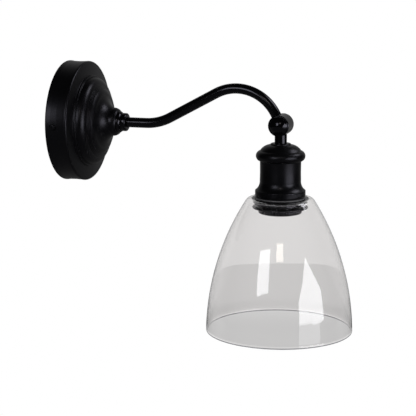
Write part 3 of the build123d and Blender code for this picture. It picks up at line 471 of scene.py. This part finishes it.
cup_inner = [
    (5.25, 52.4, 0), (10.5, 52.4, 0), (10.5, 50.0, 0), (13.1, 50.0, 0),
    *bowed((13.1, 50.0), (33.9, 36.5), -16.7, 14), (33.9, 36.5, 0), (34.5, 33.8, 0), (38.0, 32.0, 0),
    (44.2, 25.1, 0), (46.0, 22.7, 0), (60.4, 21.3, 1), (60.4, 0.0, 0.3),
]
wall_cup = turned("spun_wall_cup", rounded(cup_outer + cup_inner), ORIGIN, OUT_OF_WALL, steps=144)
stands_for(wall_cup, "wall_cup", "base")

# %% [markdown]
# ## The collar on the arm
# A small turned collar hides the place where the arm leaves the cup: a swelling foot, a narrow
# groove, and a plain bead. It is bar stock, so the lathe makes it directly. The hole for its grub
# screw is left out.

# %% Turn the collar
collar_corners = [
    (5.25, 56.4, 0), (11.2, 56.4, 0.4), *bowed((11.2, 56.4), (9.4, 59.8), 4.0, 5), (9.4, 59.8, 0.35),
    (8.7, 59.95, 0.2), (8.7, 60.7, 0.2), (9.4, 60.85, 0.35), (9.4, 65.6, 1.5), (5.25, 65.6, 0.2),
]
arm_collar = turned("turned_arm_collar", rounded(collar_corners), ORIGIN, OUT_OF_WALL, steps=64)
stands_for(arm_collar, "arm_collar", "base")

# %% [markdown]
# ## The caps of the knuckle
# Each end of the knuckle's barrel is closed by a cap like a round button, with a plug behind it. A
# fine groove runs round its edge where the cap meets the barrel, and a small step leads into the dome.

# %% Turn the two caps
CAP_DOME = 11.36
cap_corners = [
    (0, 15.3, 0), *bowed((0.0, 15.3), (8.9, 11.0), CAP_DOME, 14), (8.9, 11.0, 0.3), (9.2, 10.7, 0.2),
    (9.9, 10.75, 0.4), (10.75, 10.2, 0.4),
    (10.75, 9.6, 0.15), (10.3, 9.5, 0.1), (10.3, 9.3, 0), (8.35, 9.3, 0), (8.35, 8.3, 0.2), (0, 8.3, 0),
]
rear_cap = turned("domed_rear_cap", rounded(cap_corners), PIVOT, (0, 1, 0), steps=72)
stands_for(rear_cap, "knuckle_rear_cap", "base")
front_cap = turned("domed_front_cap", rounded(cap_corners), PIVOT, (0, -1, 0), steps=72)
stands_for(front_cap, "knuckle_front_cap", "head")

# %% [markdown]
# ## The holder cup
# The cover of the lampholder is turned too: a small collar, a dome, a fat bead, a plain sleeve, and
# a flare into a foot that presses on the glass. The foot's side carries fine rings from the tool,
# which break its highlight into thin lines.

# %% Turn the holder cup
FOOT_RADIUS = 25.6
FOOT_RINGS = 4
FOOT_RING_PITCH = 1.15
FOOT_RING_DEPTH = 0.22
FOOT_RING_EDGE = 0.08
FOOT_FIRST_RING = -67.2
RING_SECTION = (0.0, 0.0), (FOOT_RING_DEPTH, 0.25), (FOOT_RING_DEPTH, 0.45), (0.0, 0.7)

foot_rings = []
for ring in range(FOOT_RINGS):
    height = FOOT_FIRST_RING - ring * FOOT_RING_PITCH
    for cut, drop in RING_SECTION:
        foot_rings.append((FOOT_RADIUS - cut, height - drop, FOOT_RING_EDGE))
holder_outer = [
    (5.0, -18.5, 0), (10.3, -18.5, 0.8), (10.4, -19.9, 0.4), *bowed((10.4, -19.9), (20.85, -25.9), 12.5, 10),
    (20.85, -25.9, 0.5), *bowed((20.85, -25.9), (20.85, -36.5), 5.46, 14), (20.85, -36.5, 0.5),
    (20.7, -48.0, 60), (20.9, -56.5, 20), *bowed((20.85, -56.5), (24.6, -65.7), -12.0, 10),
    (24.6, -65.7, 0.8), (FOOT_RADIUS, -66.3, 0.6), *foot_rings, (FOOT_RADIUS, -73.2, 2.3),
]
holder_inner = [
    (19.6, -73.2, 0.3), (19.6, -27.2, 0), (9.1, -21.2, 0), (5.0, -21.2, 0),
]
holder_cup = turned("turned_holder_cup", rounded(holder_outer + holder_inner), PIVOT, UPWARD, steps=128)
stands_for(holder_cup, "holder_cup", "head")

# %% [markdown]
# ## The glass bell
# The shade is blown into a mould, so it has a flat top with a ground hole, a rounded shoulder and one
# long even curve down to the rim. Its wall is well under a millimetre, because a thicker one bends
# the horizon behind it too much. The rim is fire-polished, so its edge is round and a little thicker.
# Glass shows every fault of a mesh, so this outline has many points and the spin many steps.
# The glass casts no shadow, so that the light reaches the rings and the lampholder inside it.

# %% Blow the glass bell
SHADE_TOP = -74.0
SHADE_RIM = -212.2
OUTER_CURVE = 263.0
INNER_CURVE = 262.4
CURVE_STEPS = 26

glass_corners = [
    (20.8, SHADE_TOP, 0.4), (33.1, SHADE_TOP, 5.6),
    *bowed((33.1, SHADE_TOP), (75.2, SHADE_RIM), OUTER_CURVE, CURVE_STEPS),
    (75.2, SHADE_RIM, 0.58), (74.0, SHADE_RIM, 0.58), (73.75, -209.5, 3.0),
    *bowed((32.85, -74.7), (73.85, -207.0), INNER_CURVE, CURVE_STEPS)[::-1],
    (32.85, -74.7, 5.0), (28.2, -74.7, 0.6), (27.2, -77.0, 0.6), (20.8, -77.0, 0.4),
]
glass_bell = turned("blown_glass_bell", rounded(glass_corners), PIVOT, UPWARD, steps=192)
stands_for(glass_bell, "glass_shade", "head")
glass_bell.visible_shadow = False

# %% [markdown]
# ## Gaskets and rings
# A thin gasket lies between the foot and the glass and a thicker one below the glass, both of grey
# silicone. The thin one's grey is also a painted highlight: it draws the pale line where the glass's top
# edge catches the light. Two threaded rings on the lampholder pull them together. The second ring has a
# flange and a skirt with grip ribs. The ribs are raised from every other face of the skirt with Inset and its
# depth.

# %% Turn the gaskets and the upper ring
top_gasket = turned("pressed_top_gasket", rounded([
    (20.8, -73.2, 0.2), (26.2, -73.2, 0.35), (26.2, -74.0, 0.35), (20.8, -74.0, 0.2),
]), PIVOT, UPWARD)
stands_for(top_gasket, "shade_gasket", "head")
low_gasket = turned("pressed_low_gasket", rounded([
    (20.8, -77.0, 0.3), (27.5, -77.0, 0.6), (27.5, -78.6, 0.6), (20.8, -78.6, 0.3),
]), PIVOT, UPWARD)
stands_for(low_gasket, "lower_gasket", "head")
upper_ring = turned("moulded_upper_ring", rounded([
    (19.35, -78.6, 0.2), (26.0, -78.6, 0.5), (26.0, -81.0, 0.7), (19.35, -81.0, 0.2),
]), PIVOT, UPWARD)
stands_for(upper_ring, "shade_ring", "head")

# %% Turn the lock ring and raise its grip ribs
RIB_HEIGHT = 0.1
RIB_INSET = 0.06
SKIRT_RADIUS = 21.5
SKIRT_LOW = -88.6
SKIRT_TOP = -85.5

lock_ring = turned("ribbed_lock_ring", rounded([
    (19.35, -83.0, 0.2), (28.2, -83.0, 0.45), (28.2, -84.6, 0.6), (22.3, -84.6, 0.4), (22.0, -85.4, 0),
    (22.0, -88.7, 0), (22.0, -89.6, 0.5), (19.35, -89.6, 0.3),
]), PIVOT, UPWARD)
bpy.ops.object.mode_set(mode="EDIT")
bpy.ops.mesh.select_mode(type="FACE")
bpy.ops.mesh.select_all(action="DESELECT")
skin = bmesh.from_edit_mesh(lock_ring.data)
skirt = []
for face in skin.faces:
    middle = (face.calc_center_median() - PIVOT) / MM
    if hypot(middle.x, middle.y) > SKIRT_RADIUS and SKIRT_LOW < middle.z < SKIRT_TOP:
        skirt.append((Vector((middle.x, middle.y)).angle_signed(Vector((1, 0))), face))
for index, (turn, face) in enumerate(sorted(skirt, key=lambda entry: entry[0])):
    face.select = index % 2 == 0
bmesh.update_edit_mesh(lock_ring.data)
bpy.ops.mesh.inset(thickness=RIB_INSET * MM, depth=RIB_HEIGHT * MM, use_individual=True)
bpy.ops.object.mode_set(mode="OBJECT")
stands_for(lock_ring, "shade_lock_ring", "head")
print("grip ribs:", len(skirt) // 2)

# %% [markdown]
# ## The screw shell
# A lamp screws into a thin brass shell with a rolled round thread. The Screw modifier winds one
# wave of the thread's section round the axis and lifts it by one pitch per turn. Solidify then
# gives the sheet its thickness, and both are applied.

# %% Roll the screw shell
THREAD_PITCH = 3.62
THREAD_TURNS = 7
THREAD_STEPS = 48
SHELL_LOW = -82.6
SHELL_SHEET = 0.3
SHELL_SHARP_ANGLE = radians(40)
wave = [
    (13.35, 0.0), (13.1, 0.55), (12.75, 1.15), (12.5, 1.81),
    (12.75, 2.47), (13.1, 3.07), (13.35, THREAD_PITCH),
]

bpy.ops.object.select_all(action="DESELECT")
bpy.ops.mesh.primitive_plane_add(size=MM)
screw_shell = bpy.context.object
screw_shell.name = "rolled_screw_shell"
screw_shell.data.name = "rolled_screw_shell"
bpy.ops.object.mode_set(mode="EDIT")
bpy.ops.mesh.select_mode(type="VERT")
bpy.ops.mesh.merge(type="CENTER")
bpy.ops.transform.translate(value=Vector((wave[0][0], 0, wave[0][1])) * MM)
for here, there in zip(wave, wave[1:]):
    step = Vector((there[0] - here[0], 0, there[1] - here[1])) * MM
    bpy.ops.mesh.extrude_region_move(TRANSFORM_OT_translate={"value": step})
bpy.ops.object.mode_set(mode="OBJECT")
winding = screw_shell.modifiers.new("winding", "SCREW")
winding.screw_offset = THREAD_PITCH * MM
winding.iterations = THREAD_TURNS
winding.steps = THREAD_STEPS
winding.render_steps = THREAD_STEPS
winding.use_merge_vertices = True
winding.merge_threshold = WELD_DISTANCE
bpy.ops.object.modifier_apply(modifier="winding")
bpy.ops.object.mode_set(mode="EDIT")
bpy.ops.mesh.select_all(action="SELECT")
bpy.ops.mesh.remove_doubles(threshold=WELD_DISTANCE)
bpy.ops.mesh.normals_make_consistent(inside=False)
bpy.ops.object.mode_set(mode="OBJECT")
sheet = screw_shell.modifiers.new("sheet", "SOLIDIFY")
sheet.thickness = SHELL_SHEET * MM
bpy.ops.object.modifier_apply(modifier="sheet")
screw_shell.location = PIVOT + Vector((0, 0, SHELL_LOW)) * MM
bpy.ops.object.transform_apply(location=True, rotation=False, scale=False)
bpy.ops.object.shade_smooth_by_angle(angle=SHELL_SHARP_ANGLE)
shell_heights = [round((vertex.co.z - PIVOT.z) / MM, 1) for vertex in screw_shell.data.vertices]
shell_faces = len(screw_shell.data.polygons)
print("shell from", min(shell_heights), "to", max(shell_heights), "with", shell_faces, "faces")
stands_for(screw_shell, "screw_shell", "head")

# %% [markdown]
# ## A group for painted and moulded skins
# Paint and moulded plastic share the same small faults: a faint orange peel, a gloss that varies a
# little from place to place, and dust that settles on what faces up. They are built once as a node
# group, and each material sets its own amounts.

# %% Build the skin group
def new_group(name, inputs, outputs):
    """An empty shader group with number inputs and number outputs."""
    group = bpy.data.node_groups.new(name, "ShaderNodeTree")
    for title, value in inputs.items():
        socket = group.interface.new_socket(title, in_out="INPUT", socket_type="NodeSocketFloat")
        socket.default_value = value
    for title in outputs:
        group.interface.new_socket(title, in_out="OUTPUT", socket_type="NodeSocketFloat")
    start = group.nodes.new("NodeGroupInput")
    end = group.nodes.new("NodeGroupOutput")
    return group, start, end


def build_skin():
    """Peel height, uneven roughness and a dust mask, all on Object coordinates."""
    inputs = {"Peel Scale": 700.0, "Rough Low": 0.3, "Rough High": 0.4, "Dust": 0.2}
    group, start, end = new_group("skin", inputs, ("Height", "Roughness", "Dust"))
    place = add_node(group, "ShaderNodeTexCoord")
    peel = add_node(group, "ShaderNodeTexNoise", Detail=2.0, Roughness=0.5)
    group.links.new(place.outputs["Object"], peel.inputs["Vector"])
    group.links.new(start.outputs["Peel Scale"], peel.inputs["Scale"])
    group.links.new(peel.outputs["Fac"], end.inputs["Height"])
    cloud = add_node(group, "ShaderNodeTexNoise", Scale=38.0, Detail=4.0, Roughness=0.6)
    group.links.new(place.outputs["Object"], cloud.inputs["Vector"])
    uneven = add_node(group, "ShaderNodeMapRange", From_Min=0.35, From_Max=0.65)
    group.links.new(cloud.outputs["Fac"], uneven.inputs["Value"])
    group.links.new(start.outputs["Rough Low"], uneven.inputs["To Min"])
    group.links.new(start.outputs["Rough High"], uneven.inputs["To Max"])
    group.links.new(uneven.outputs["Result"], end.inputs["Roughness"])
    facing = add_node(group, "ShaderNodeSeparateXYZ")
    group.links.new(place.outputs["Normal"], facing.inputs["Vector"])
    upward = add_node(group, "ShaderNodeMapRange", From_Min=0.15, From_Max=1.0)
    group.links.new(facing.outputs["Z"], upward.inputs["Value"])
    specks = add_node(group, "ShaderNodeTexNoise", Scale=420.0, Detail=5.0, Roughness=0.7)
    group.links.new(place.outputs["Object"], specks.inputs["Vector"])
    grains = add_node(group, "ShaderNodeMapRange", From_Min=0.45, From_Max=0.75)
    group.links.new(specks.outputs["Fac"], grains.inputs["Value"])
    settled = add_node(group, "ShaderNodeMath", operation="MULTIPLY")
    group.links.new(upward.outputs["Result"], settled.inputs[0])
    group.links.new(grains.outputs["Result"], settled.inputs[1])
    amount = add_node(group, "ShaderNodeMath", operation="MULTIPLY")
    group.links.new(settled.outputs[0], amount.inputs[0])
    group.links.new(start.outputs["Dust"], amount.inputs[1])
    group.links.new(amount.outputs[0], end.inputs["Dust"])
    return group


skin_group = build_skin()
print("skin group has", len(skin_group.nodes), "nodes")

# %% [markdown]
# ## Black paint and black mouldings
# The cup and the holder are coated in satin black, and the arm, the stem and the knuckle in a glossier
# black. The rings and the lampholder are black mouldings, and the gaskets are grey silicone, whose grey
# under the foot is also a painted highlight.
# All are the same recipe: one colour, the skin group's uneven gloss, its peel as a bump, and a little
# dust mixed into the colour. The ceramic, the terminal block and the fibre ring use it too.

# %% Mix the blacks
def skinned(name, colour, dust_colour, rough, peel, dust, specular=0.5, glint=(1, 1, 1)):
    """A material whose gloss, bump and dust come from the skin group."""
    material = bpy.data.materials.new(name)
    material.use_nodes = True
    tree = material.node_tree
    shader = tree.nodes["Principled BSDF"]
    shader.inputs["Specular IOR Level"].default_value = specular
    shader.inputs["Specular Tint"].default_value = (*glint, 1)
    skin = add_node(tree, "ShaderNodeGroup", node_tree=skin_group)
    skin.inputs["Peel Scale"].default_value = peel[0]
    skin.inputs["Rough Low"].default_value = rough[0]
    skin.inputs["Rough High"].default_value = rough[1]
    skin.inputs["Dust"].default_value = dust
    tint = add_node(tree, "ShaderNodeMix", data_type="RGBA")
    tint.inputs["A"].default_value = (*colour, 1)
    tint.inputs["B"].default_value = (*dust_colour, 1)
    tree.links.new(skin.outputs["Dust"], tint.inputs["Factor"])
    tree.links.new(tint.outputs["Result"], shader.inputs["Base Color"])
    tree.links.new(skin.outputs["Roughness"], shader.inputs["Roughness"])
    bump = add_node(tree, "ShaderNodeBump", Strength=peel[1], Distance=peel[2])
    tree.links.new(skin.outputs["Height"], bump.inputs["Height"])
    tree.links.new(bump.outputs["Normal"], shader.inputs["Normal"])
    return material


DUST = (0.12, 0.115, 0.105)
PAINT_GLINT = (0.88, 0.86, 1.0)
satin_black = skinned(
    "satin_black_paint", (0.0011, 0.0011, 0.0014), DUST,
    rough=(0.3, 0.35), peel=(620.0, 0.02, 0.0002), dust=0.01, specular=0.24, glint=PAINT_GLINT,
)
gloss_black = skinned(
    "gloss_black_paint", (0.0009, 0.0009, 0.0011), DUST,
    rough=(0.12, 0.16), peel=(520.0, 0.01, 0.0002), dust=0.005, specular=0.32, glint=PAINT_GLINT,
)
ring_black = skinned(
    "black_phenolic", (0.008, 0.008, 0.0085), DUST,
    rough=(0.25, 0.3), peel=(900.0, 0.002, 0.0001), dust=0.005, specular=0.6, glint=PAINT_GLINT,
)
# Grey silicone for the gaskets. Under the foot its grey is also a painted highlight, the pale line of the
# glass's top edge.
grey_silicone = skinned(
    "grey_silicone", (0.1, 0.1, 0.105), (0.3, 0.29, 0.28),
    rough=(0.2, 0.3), peel=(900.0, 0.01, 0.0001), dust=0.05,
)
ceramic_white = skinned(
    "glazed_ceramic", (0.8, 0.78, 0.72), (0.5, 0.46, 0.4),
    rough=(0.12, 0.2), peel=(300.0, 0.05, 0.0002), dust=0.2,
)
block_white = skinned(
    "white_terminal_block", (0.78, 0.77, 0.73), (0.5, 0.48, 0.44),
    rough=(0.4, 0.5), peel=(1200.0, 0.1, 0.0001), dust=0.3,
)
fibre_red = skinned(
    "pressed_fibre", (0.23, 0.07, 0.045), (0.35, 0.2, 0.13),
    rough=(0.6, 0.75), peel=(1800.0, 0.4, 0.0002), dust=0.6,
)
print("blacks:", satin_black.name, gloss_black.name, ring_black.name)

# %% [markdown]
# ## Plated steel and brass
# The hidden hardware is zinc-plated steel and plain brass. Both are drawn or turned, so a noise that
# is stretched along one axis gives fine lines in the gloss, and a soft cloud dulls them in patches.
# The colour shifts a little with the same cloud, as plating and brass do when they age.

# %% Build the metal group and mix the metals
def build_drawn_metal():
    """Fine drawn lines as height, uneven roughness and a tarnish mask."""
    inputs = {"Line Scale": 300.0, "Rough Low": 0.2, "Rough High": 0.4}
    group, start, end = new_group("drawn_metal", inputs, ("Height", "Roughness", "Tarnish"))
    place = add_node(group, "ShaderNodeTexCoord")
    stretch = add_node(group, "ShaderNodeMapping")
    stretch.inputs["Scale"].default_value = (1.0, 1.0, 12.0)
    group.links.new(place.outputs["Object"], stretch.inputs["Vector"])
    lines = add_node(group, "ShaderNodeTexNoise", Detail=3.0)
    group.links.new(stretch.outputs["Vector"], lines.inputs["Vector"])
    group.links.new(start.outputs["Line Scale"], lines.inputs["Scale"])
    group.links.new(lines.outputs["Fac"], end.inputs["Height"])
    cloud = add_node(group, "ShaderNodeTexNoise", Scale=90.0, Detail=5.0, Roughness=0.6)
    group.links.new(place.outputs["Object"], cloud.inputs["Vector"])
    uneven = add_node(group, "ShaderNodeMapRange", From_Min=0.35, From_Max=0.65)
    group.links.new(cloud.outputs["Fac"], uneven.inputs["Value"])
    group.links.new(start.outputs["Rough Low"], uneven.inputs["To Min"])
    group.links.new(start.outputs["Rough High"], uneven.inputs["To Max"])
    group.links.new(uneven.outputs["Result"], end.inputs["Roughness"])
    dull = add_node(group, "ShaderNodeMapRange", From_Min=0.4, From_Max=0.7)
    group.links.new(cloud.outputs["Fac"], dull.inputs["Value"])
    group.links.new(dull.outputs["Result"], end.inputs["Tarnish"])
    return group


metal_group = build_drawn_metal()


def drawn(name, bright, dull, rough, bump_strength):
    """A bare metal whose lines and tarnish come from the drawn metal group."""
    material = bpy.data.materials.new(name)
    material.use_nodes = True
    tree = material.node_tree
    shader = tree.nodes["Principled BSDF"]
    shader.inputs["Metallic"].default_value = 1.0
    metal = add_node(tree, "ShaderNodeGroup", node_tree=metal_group)
    metal.inputs["Rough Low"].default_value = rough[0]
    metal.inputs["Rough High"].default_value = rough[1]
    tint = add_node(tree, "ShaderNodeMix", data_type="RGBA")
    tint.inputs["A"].default_value = (*bright, 1)
    tint.inputs["B"].default_value = (*dull, 1)
    tree.links.new(metal.outputs["Tarnish"], tint.inputs["Factor"])
    tree.links.new(tint.outputs["Result"], shader.inputs["Base Color"])
    tree.links.new(metal.outputs["Roughness"], shader.inputs["Roughness"])
    bump = add_node(tree, "ShaderNodeBump", Strength=bump_strength, Distance=0.0001)
    tree.links.new(metal.outputs["Height"], bump.inputs["Height"])
    tree.links.new(bump.outputs["Normal"], shader.inputs["Normal"])
    return material


zinc = drawn("zinc_plated_steel", (0.62, 0.63, 0.64), (0.45, 0.46, 0.45), (0.25, 0.42), 0.1)
brass = drawn("plain_brass", (0.8, 0.6, 0.28), (0.55, 0.37, 0.16), (0.18, 0.36), 0.08)
print("metals:", zinc.name, brass.name)

# %% [markdown]
# ## Clear glass
# Glass has no colour of its own at this thickness, but a thick edge looks grey because light travels
# a long way in it. Volume Absorption does just that: it darkens by the distance inside the wall.
# Blown glass is also never quite flat, so a broad, very weak noise bends its reflections a little.
# The last millimetre of the rim is painted grey, a painted shade that draws the dark line along its edge.

# %% Melt the glass
GLASS_IOR = 1.5
GLASS_ABSORPTION = 85.0
# Painted shade: the glass colour turns grey over the last millimetre of the rim.
RIM_PAINTED_SHADE_TOP = -0.2073
RIM_PAINTED_SHADE_LOW = -0.2079
RIM_PAINTED_SHADE = (0.3, 0.3, 0.32, 1)
GLASS_TINT = (1.0, 0.991, 0.987, 1)
GLASS_DEPTH_TINT = (0.57, 0.56, 0.57, 1)

clear_glass = bpy.data.materials.new("clear_blown_glass")
clear_glass.use_nodes = True
tree = clear_glass.node_tree
glass_shader = tree.nodes["Principled BSDF"]
glass_shader.inputs["Roughness"].default_value = 0.0
glass_shader.inputs["Transmission Weight"].default_value = 1.0
glass_shader.inputs["IOR"].default_value = GLASS_IOR
place = add_node(tree, "ShaderNodeTexCoord")
wavy = add_node(tree, "ShaderNodeTexNoise", Scale=26.0, Detail=1.0)
tree.links.new(place.outputs["Object"], wavy.inputs["Vector"])
glass_bump = add_node(tree, "ShaderNodeBump", Strength=0.05, Distance=0.001)
tree.links.new(wavy.outputs["Fac"], glass_bump.inputs["Height"])
tree.links.new(glass_bump.outputs["Normal"], glass_shader.inputs["Normal"])
height = add_node(tree, "ShaderNodeSeparateXYZ")
tree.links.new(place.outputs["Object"], height.inputs["Vector"])
# Where the painted shade of the rim starts and ends, by height.
rim_painted_shade_share = add_node(tree, "ShaderNodeMapRange", From_Min=RIM_PAINTED_SHADE_TOP, From_Max=RIM_PAINTED_SHADE_LOW)
tree.links.new(height.outputs["Z"], rim_painted_shade_share.inputs["Value"])
tint = add_node(tree, "ShaderNodeMix", data_type="RGBA")
tint.inputs["A"].default_value = GLASS_TINT
tint.inputs["B"].default_value = RIM_PAINTED_SHADE
tree.links.new(rim_painted_shade_share.outputs["Result"], tint.inputs["Factor"])
tree.links.new(tint.outputs["Result"], glass_shader.inputs["Base Color"])
absorption = add_node(
    tree, "ShaderNodeVolumeAbsorption", Color=GLASS_DEPTH_TINT, Density=GLASS_ABSORPTION,
)
tree.links.new(absorption.outputs["Volume"], tree.nodes["Material Output"].inputs["Volume"])
print("glass absorbs", GLASS_ABSORPTION, "per metre")

# %% [markdown]
# ## The wiring
# The flex through the arm is a woven glass-fibre sleeve over two cores. A Wave texture with fine
# slanting bands gives the weave its colour and its bump.
# The cores beyond the sleeve are told apart by where they are: brown on one side and blue on the
# other. The earth core is green with yellow bands.

# %% Weave the sleeve and colour the cores
BROWN = (0.13, 0.05, 0.02, 1)
BLUE = (0.03, 0.1, 0.38, 1)
SLEEVE_PALE = (0.72, 0.69, 0.6, 1)
SLEEVE_DARK = (0.5, 0.47, 0.4, 1)
EARTH_GREEN = (0.02, 0.22, 0.05, 1)
EARTH_YELLOW = (0.7, 0.6, 0.03, 1)
EARTH_BAND = 0.55


def choose(tree, factor, first, second):
    """A colour between two others."""
    mix = add_node(tree, "ShaderNodeMix", data_type="RGBA")
    tree.links.new(factor, mix.inputs["Factor"])
    for slot_name, source in (("A", first), ("B", second)):
        if isinstance(source, tuple):
            mix.inputs[slot_name].default_value = source
        else:
            tree.links.new(source, mix.inputs[slot_name])
    return mix.outputs["Result"]


def wire_finish(name, sleeve_axis, sleeve_limit, core_axis, core_limit):
    """A woven sleeve beyond one limit, and two coloured cores before it."""
    material = bpy.data.materials.new(name)
    material.use_nodes = True
    tree = material.node_tree
    shader = tree.nodes["Principled BSDF"]
    shader.inputs["Roughness"].default_value = 0.55
    place = add_node(tree, "ShaderNodeTexCoord")
    parts = add_node(tree, "ShaderNodeSeparateXYZ")
    tree.links.new(place.outputs["Object"], parts.inputs["Vector"])
    weave = add_node(tree, "ShaderNodeTexWave", wave_type="BANDS", bands_direction="DIAGONAL", Scale=420.0)
    tree.links.new(place.outputs["Object"], weave.inputs["Vector"])
    threads = choose(tree, weave.outputs["Fac"], SLEEVE_DARK, SLEEVE_PALE)
    cores = choose(tree, is_beyond(tree, parts.outputs[core_axis], core_limit), BROWN, BLUE)
    sleeved = is_beyond(tree, parts.outputs[sleeve_axis], sleeve_limit)
    tree.links.new(choose(tree, sleeved, cores, threads), shader.inputs["Base Color"])
    bump = add_node(tree, "ShaderNodeBump", Strength=0.3, Distance=0.0002)
    tree.links.new(weave.outputs["Fac"], bump.inputs["Height"])
    tree.links.new(bump.outputs["Normal"], shader.inputs["Normal"])
    return material


arm_wiring = wire_finish(
    "arm_wiring", sleeve_axis="X", sleeve_limit=0.0369, core_axis="Y", core_limit=-0.003,
)
head_wiring = wire_finish(
    "head_wiring", sleeve_axis="Z", sleeve_limit=PIVOT.z - 0.0323, core_axis="X", core_limit=PIVOT.x,
)

earth_green = bpy.data.materials.new("earth_core")
earth_green.use_nodes = True
tree = earth_green.node_tree
place = add_node(tree, "ShaderNodeTexCoord")
bands = add_node(tree, "ShaderNodeTexWave", wave_type="BANDS", bands_direction="DIAGONAL", Scale=90.0)
tree.links.new(place.outputs["Object"], bands.inputs["Vector"])
edge = is_beyond(tree, bands.outputs["Fac"], EARTH_BAND)
earth_shader = tree.nodes["Principled BSDF"]
earth_shader.inputs["Roughness"].default_value = 0.45
earth_colour = choose(tree, edge, EARTH_GREEN, EARTH_YELLOW)
tree.links.new(earth_colour, earth_shader.inputs["Base Color"])
print("wiring:", arm_wiring.name, head_wiring.name, earth_green.name)

# %% [markdown]
# ## Dress every piece
# Each record slot has a finish, and a few nodes have one of their own: the glossier arm and knuckle,
# and the wiring. Each new piece has its finish by name.

# %% Hand out the finishes
SLOT_FINISH = {
    "black_paint": satin_black,
    "zinc_steel": zinc,
    "brass": brass,
    "clear_glass": clear_glass,
    "black_rubber": grey_silicone,
    "black_moulding": ring_black,
    "white_ceramic": ceramic_white,
    "white_moulding": block_white,
    "fibre": fibre_red,
}
OWN_FINISH = {
    "arm_tube": gloss_black,
    "knuckle_arm_half": gloss_black,
    "knuckle_head_half": gloss_black,
    "collar_grub_screw": gloss_black,
    "arm_flex": arm_wiring,
    "head_flex": head_wiring,
    "earth_wire": earth_green,
}
PIECE_FINISH = {
    "spun_wall_cup": satin_black,
    "turned_holder_cup": satin_black,
    "turned_arm_collar": gloss_black,
    "domed_rear_cap": gloss_black,
    "domed_front_cap": gloss_black,
    "blown_glass_bell": clear_glass,
    "pressed_top_gasket": grey_silicone,
    "pressed_low_gasket": grey_silicone,
    "moulded_upper_ring": ring_black,
    "ribbed_lock_ring": ring_black,
    "rolled_screw_shell": brass,
}
slot_of = {part["node"]: part["material_slot"] for part in frame["record"]["subparts"]}
for name, node in frame["nodes"].items():
    finish = OWN_FINISH.get(name) or SLOT_FINISH[slot_of[name]]
    node.data.materials.clear()
    node.data.materials.append(finish)
for name, piece in finished.items():
    piece.data.materials.clear()
    piece.data.materials.append(PIECE_FINISH[name])
print("dressed", len(frame["nodes"]), "solids and", len(finished), "new pieces")
